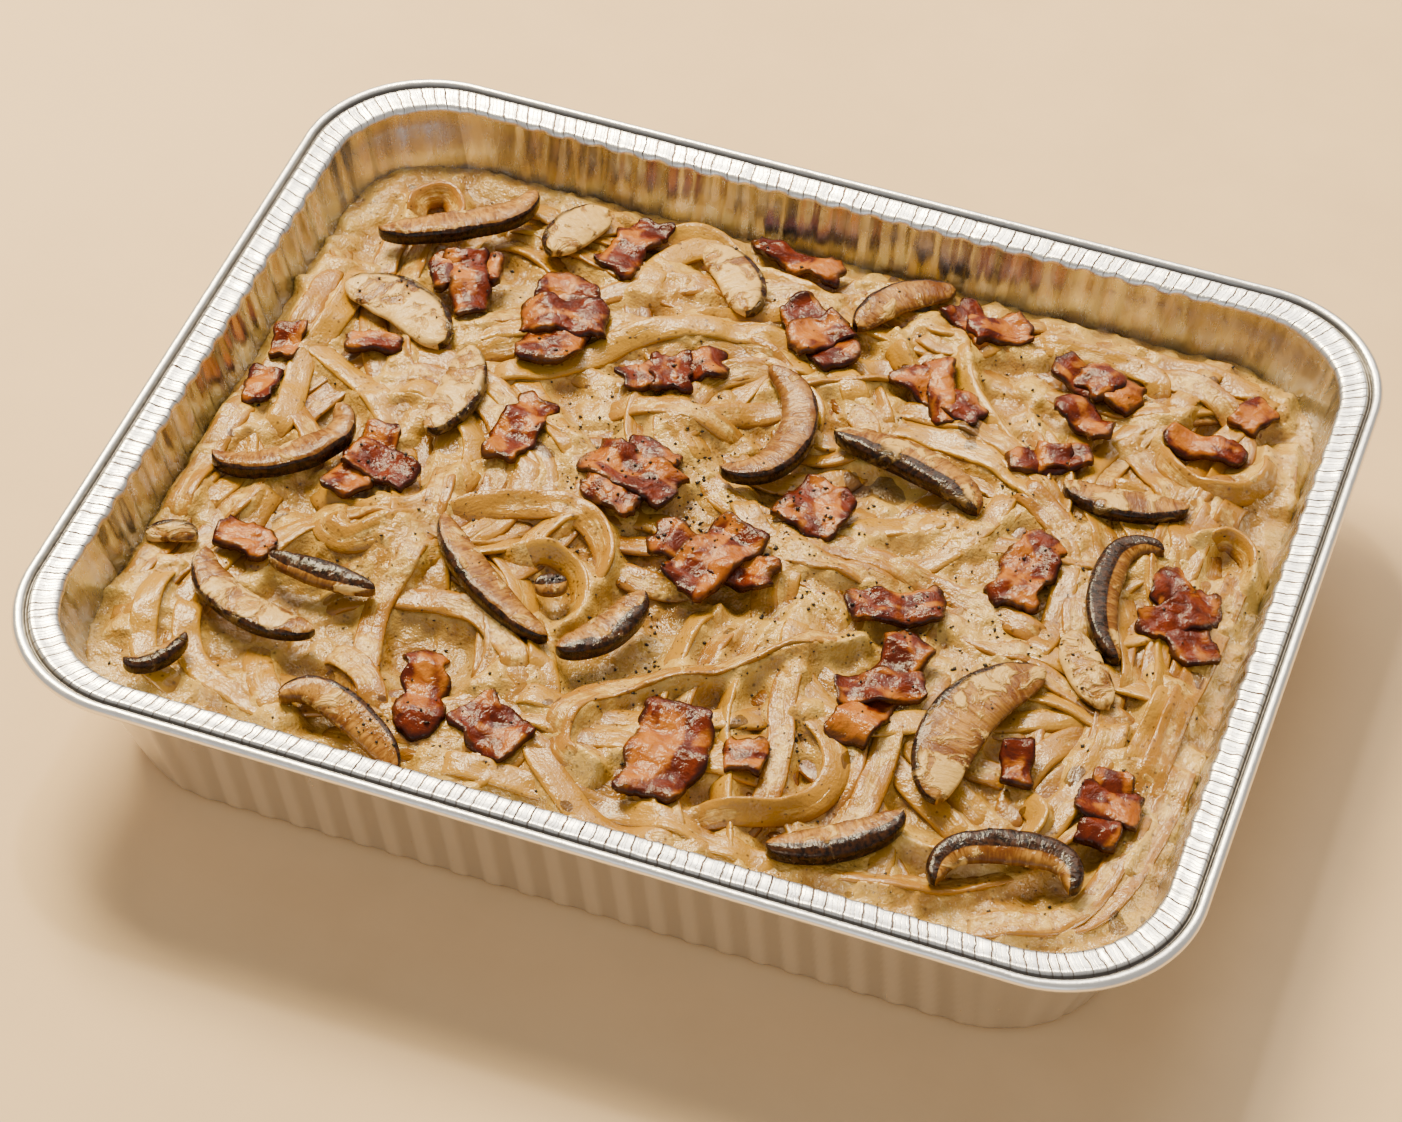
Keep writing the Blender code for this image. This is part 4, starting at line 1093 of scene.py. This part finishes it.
def mushroom_slice(name, number, spec, pad, finish):
    x, y, turn, length, depth, bend, curl_start, curl_end, skin_side, coat, dark = spec
    rings, around = 46, 28
    spine, heading = mushroom_spine(turn, length, bend, curl_start, curl_end, rings)
    t = np.linspace(0, 1, rings)
    full = 0.5 + 0.5 * np.sin(math.pi * t) ** 0.7
    round_end = np.sqrt(np.clip(1 - np.abs(2 * t - 1) ** 7, 0, 1)) * 0.86 + 0.14
    half = depth / 2 * full * round_end
    half = half * (1 + 0.06 * lumps(t * length, number * 11.0, 7, 61))
    angle = np.linspace(0, 2 * math.pi, around, endpoint=False)
    # Round the slice: the skin side is thick and rolled over, and the gill side is thin.
    across = np.sign(np.cos(angle)) * np.abs(np.cos(angle)) ** 0.5
    up = np.sign(np.sin(angle)) * np.abs(np.sin(angle)) ** 0.5
    fat = 0.5 * (0.80 + 0.28 * across - 0.08 * across**2)
    side = np.stack([-np.sin(heading), np.cos(heading)], 1) * skin_side
    px = x + spine[:, :1] + side[:, :1] * across * half[:, None]
    py = y + spine[:, 1:] + side[:, 1:] * across * half[:, None]
    low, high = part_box(name)
    centre = (np.array(low) + np.array(high))[:2] / 2 / MM
    px += centre[0] - (px.min() + px.max()) / 2
    py += centre[1] - (py.min() + py.max()) / 2
    top, under = pad.read(pad.top_soft, px, py), pad.read(pad.under_soft, px, py)
    middle = (top + under) / 2 + 0.2
    tall = (top - under) * 0.98 * (0.55 + 0.45 * round_end[:, None])
    dome = 0.4 * np.clip(1 - across**2, 0, 1) * (up > 0)
    gill = 0.1 * np.sin(t * length * 2.6)[:, None] * step(-across, 0.1, 0.7) * (up > 0)
    rough = 0.28 * lumps(px, py, 3.2, 62 + number) + 0.16 * lumps(px, py, 1.5, 63)
    pz = middle + up * fat * tall * 2 * 0.6 + dome + gill + rough * (up > 0)
    points = np.stack([px, py, pz], -1).reshape(-1, 3)
    ragged_edge = 1 - 2 * dark + 0.1 * lumps(t * length, number * 5.0, 4, 64)[:, None]
    skin = step(across, ragged_edge - 0.07, ragged_edge + 0.07)
    facts = spread((rings, around), skin=skin, across=across, run=(t * length)[:, None], coat=coat)
    return add_piece(name + "_cut", points, ring_faces(rings, around), finish, name, facts)


def bacon_strip(x, y, strip, crossed, pad, number, order):
    """One strip of rasher: points, faces and facts of a wavy ragged sheet, bent where it is crossed."""
    back, forward, width, turn = strip
    long_steps = max(14, round((back + forward) / 0.75))
    wide_steps = max(10, round(width / 0.8))
    u = np.linspace(-1, 1, long_steps)
    v = np.linspace(-1, 1, wide_steps)
    gu, gv = np.meshgrid(u, v, indexing="ij")
    # A square grid pressed towards a rounded rectangle keeps its corners from being sharp.
    corner = 0.17
    su = gu * np.sqrt(1 - corner * gv**4 * gu**6)
    sv = gv * np.sqrt(1 - corner * gu**4 * gv**6)
    key = number * 17.0 + order * 7.0
    along = np.where(su < 0, su * back, su * forward)
    across = sv * width / 2
    ragged = 1.25 * lumps(along, key, 4.2, 71) + 0.55 * lumps(along, key, 1.5, 72)
    across = across + ragged * np.sign(sv) * np.abs(gv) ** 3
    ends = 1.5 * lumps(across, key, 3.6, 73) + 0.5 * lumps(across, key, 1.4, 74)
    along = along + ends * np.sign(su) * np.abs(gu) ** 5
    bow = 0.06 * lumps(0, key, 1, 75) * along**2 / 6
    angle = math.radians(turn)
    px = x + along * math.cos(angle) - (across + bow) * math.sin(angle)
    py = y + along * math.sin(angle) + (across + bow) * math.cos(angle)
    edge = np.maximum(np.abs(gu) ** 3, np.abs(gv) ** 2.4)
    wave = np.sin(along / 2.3 + key) * (0.4 + 0.6 * np.abs(gv)) + 0.5 * lumps(along, across, 5, 76 + number)
    crisp = 0.28 * lumps(px, py, 1.6, 77)
    curl = 1.5 * edge**2 * lumps(px, py, 7, 78)
    lift = np.exp(-((along / (crossed * 0.62)) ** 4)) * (0.95 if order else -0.75) if crossed else 0.0
    top = pad.read(pad.top_soft, px, py) + lift + wave + curl + crisp
    rounded = 0.6 * edge**5
    upper = np.stack([px, py, top + 0.2 - rounded], -1)
    lower = np.stack([px, py, top - 2.5 + rounded], -1)
    n, m = gu.shape
    index = np.arange(n * m).reshape(n, m)
    sheet = squares(index).reshape(-1, 4)
    faces = sheet.tolist() + (sheet[:, [0, 3, 2, 1]] + n * m).tolist()
    rim = [*index[:, 0], *index[-1, 1:], *index[::-1, -1][1:], *index[0, ::-1][1:-1]]
    for p, q in zip(rim, rim[1:] + rim[:1]):
        faces.append([int(q), int(p), int(p) + n * m, int(q) + n * m])
    points = np.vstack([upper.reshape(-1, 3), lower.reshape(-1, 3)])
    return points, faces, spread((2, n, m), band=across + key * 3, run=along + key * 5, edge=edge)


def bacon_piece(name, number, spec, pad, finish):
    x, y, *strips = spec
    gathered = Gathered()
    for order, strip in enumerate(strips):
        crossed = strips[1 - order][2] if len(strips) > 1 else None
        gathered.add(*bacon_strip(x, y, strip, crossed, pad, number, order))
    points, faces, facts = gathered.parts()
    return add_piece(name + "_crisp", points, faces, finish, name, facts)


# Pepper


FLAKES = 2600
PINCHES = 90


def pepper(pieces, finish):
    """Cracked peppercorn flakes lying on whatever is highest at their places."""
    trees = [tree_of(piece.data, 1) for piece in pieces]
    source = np.random.default_rng(8)
    corners = np.array([(1, 0, 0), (-1, 0, 0), (0, 1, 0), (0, -1, 0), (0, 0, 1), (0, 0, -1)], float)
    sides = [(0, 2, 4), (2, 1, 4), (1, 3, 4), (3, 0, 4), (2, 0, 5), (1, 2, 5), (3, 1, 5), (0, 3, 5)]
    points, faces = [], []
    pinches = np.column_stack([source.normal(8, 56, PINCHES), source.normal(-4, 46, PINCHES)])
    while len(points) < FLAKES:
        if source.uniform() < 0.5:
            x, y = pinches[source.integers(PINCHES)] + source.normal(0, 5.5, 2)
        elif source.uniform() < 0.6:
            x, y = source.normal(12, 48), source.normal(-4, 44)
        else:
            x, y = source.uniform(-138, 138), source.uniform(-108, 108)
        if distance_inside(x, y, 16.0) < 2:
            continue
        above = (x * MM, y * MM, 0.1)
        hits = [(tree.ray_cast(above, (0, 0, -1)), piece.name) for tree, piece in zip(trees, pieces)]
        best, carrier = max((hit for hit in hits if hit[0][0]), key=lambda hit: hit[0][0].z)
        if carrier.startswith("bacon") and source.uniform() < 0.6:
            continue
        size = 0.28 + 0.7 * source.uniform() ** 2.2
        shape = corners * size * source.uniform(0.5, 1.15, (6, 1)) * np.array((1.0, 0.8, 0.55))
        turned = np.array(Matrix.Rotation(source.uniform(0, 6.28), 3, "Z"))
        tipped = np.array(Matrix.Rotation(source.normal(0, 0.5), 3, "X"))
        shape = shape @ (turned @ tipped).T + np.array(best[0]) / MM + np.array(best[1]) * size * 0.3
        start = 6 * len(points)
        points.append(shape)
        faces += [tuple(start + i for i in side) for side in sides]
    return add_piece("cracked_pepper", np.vstack(points), faces, finish, None)


def floor(finish):
    bpy.ops.mesh.primitive_plane_add(size=12)
    made = bpy.context.object
    made.name = "floor"
    made.data.materials.append(finish)


def main():
    set_camera()
    set_lights()
    floor(floor_finish())
    foil_tray(foil_finish())
    toppings, pads = [], []
    for kind, make, finish, specs in (
        ("mushroom_slice", mushroom_slice, mushroom_finish(), MUSHROOMS),
        ("bacon_piece", bacon_piece, bacon_finish(), BACON),
    ):
        for number, spec in enumerate(specs, 1):
            name = f"{kind}_{number:02d}"
            pads.append(Pad(name))
            toppings.append((make, name, number, spec, pads[-1], finish))
    ground = Ground(pads)
    source = np.random.default_rng(12)
    pasta = pasta_finish()
    lower = Ribbons(ground, source)
    for points, roll in filler_routes(source):
        lower.lay(points, roll * 0.6, sink=1.0, proud=1.2)
    upper = Ribbons(ground, source)
    for points, roll in filler_routes(source):
        upper.lay(points, roll, sink=0.7, proud=4.2)
    for points, roll in RIBBONS:
        upper.lay(points, roll, sink=0.4, proud=5.4)
    made = [cream_sauce(ground, cream_finish())]
    made += [lower.piece("fettuccine_below", pasta), upper.piece("fettuccine_on_top", pasta)]
    made += [make(*given) for make, *given in toppings]
    pepper(made, pepper_finish())


main()
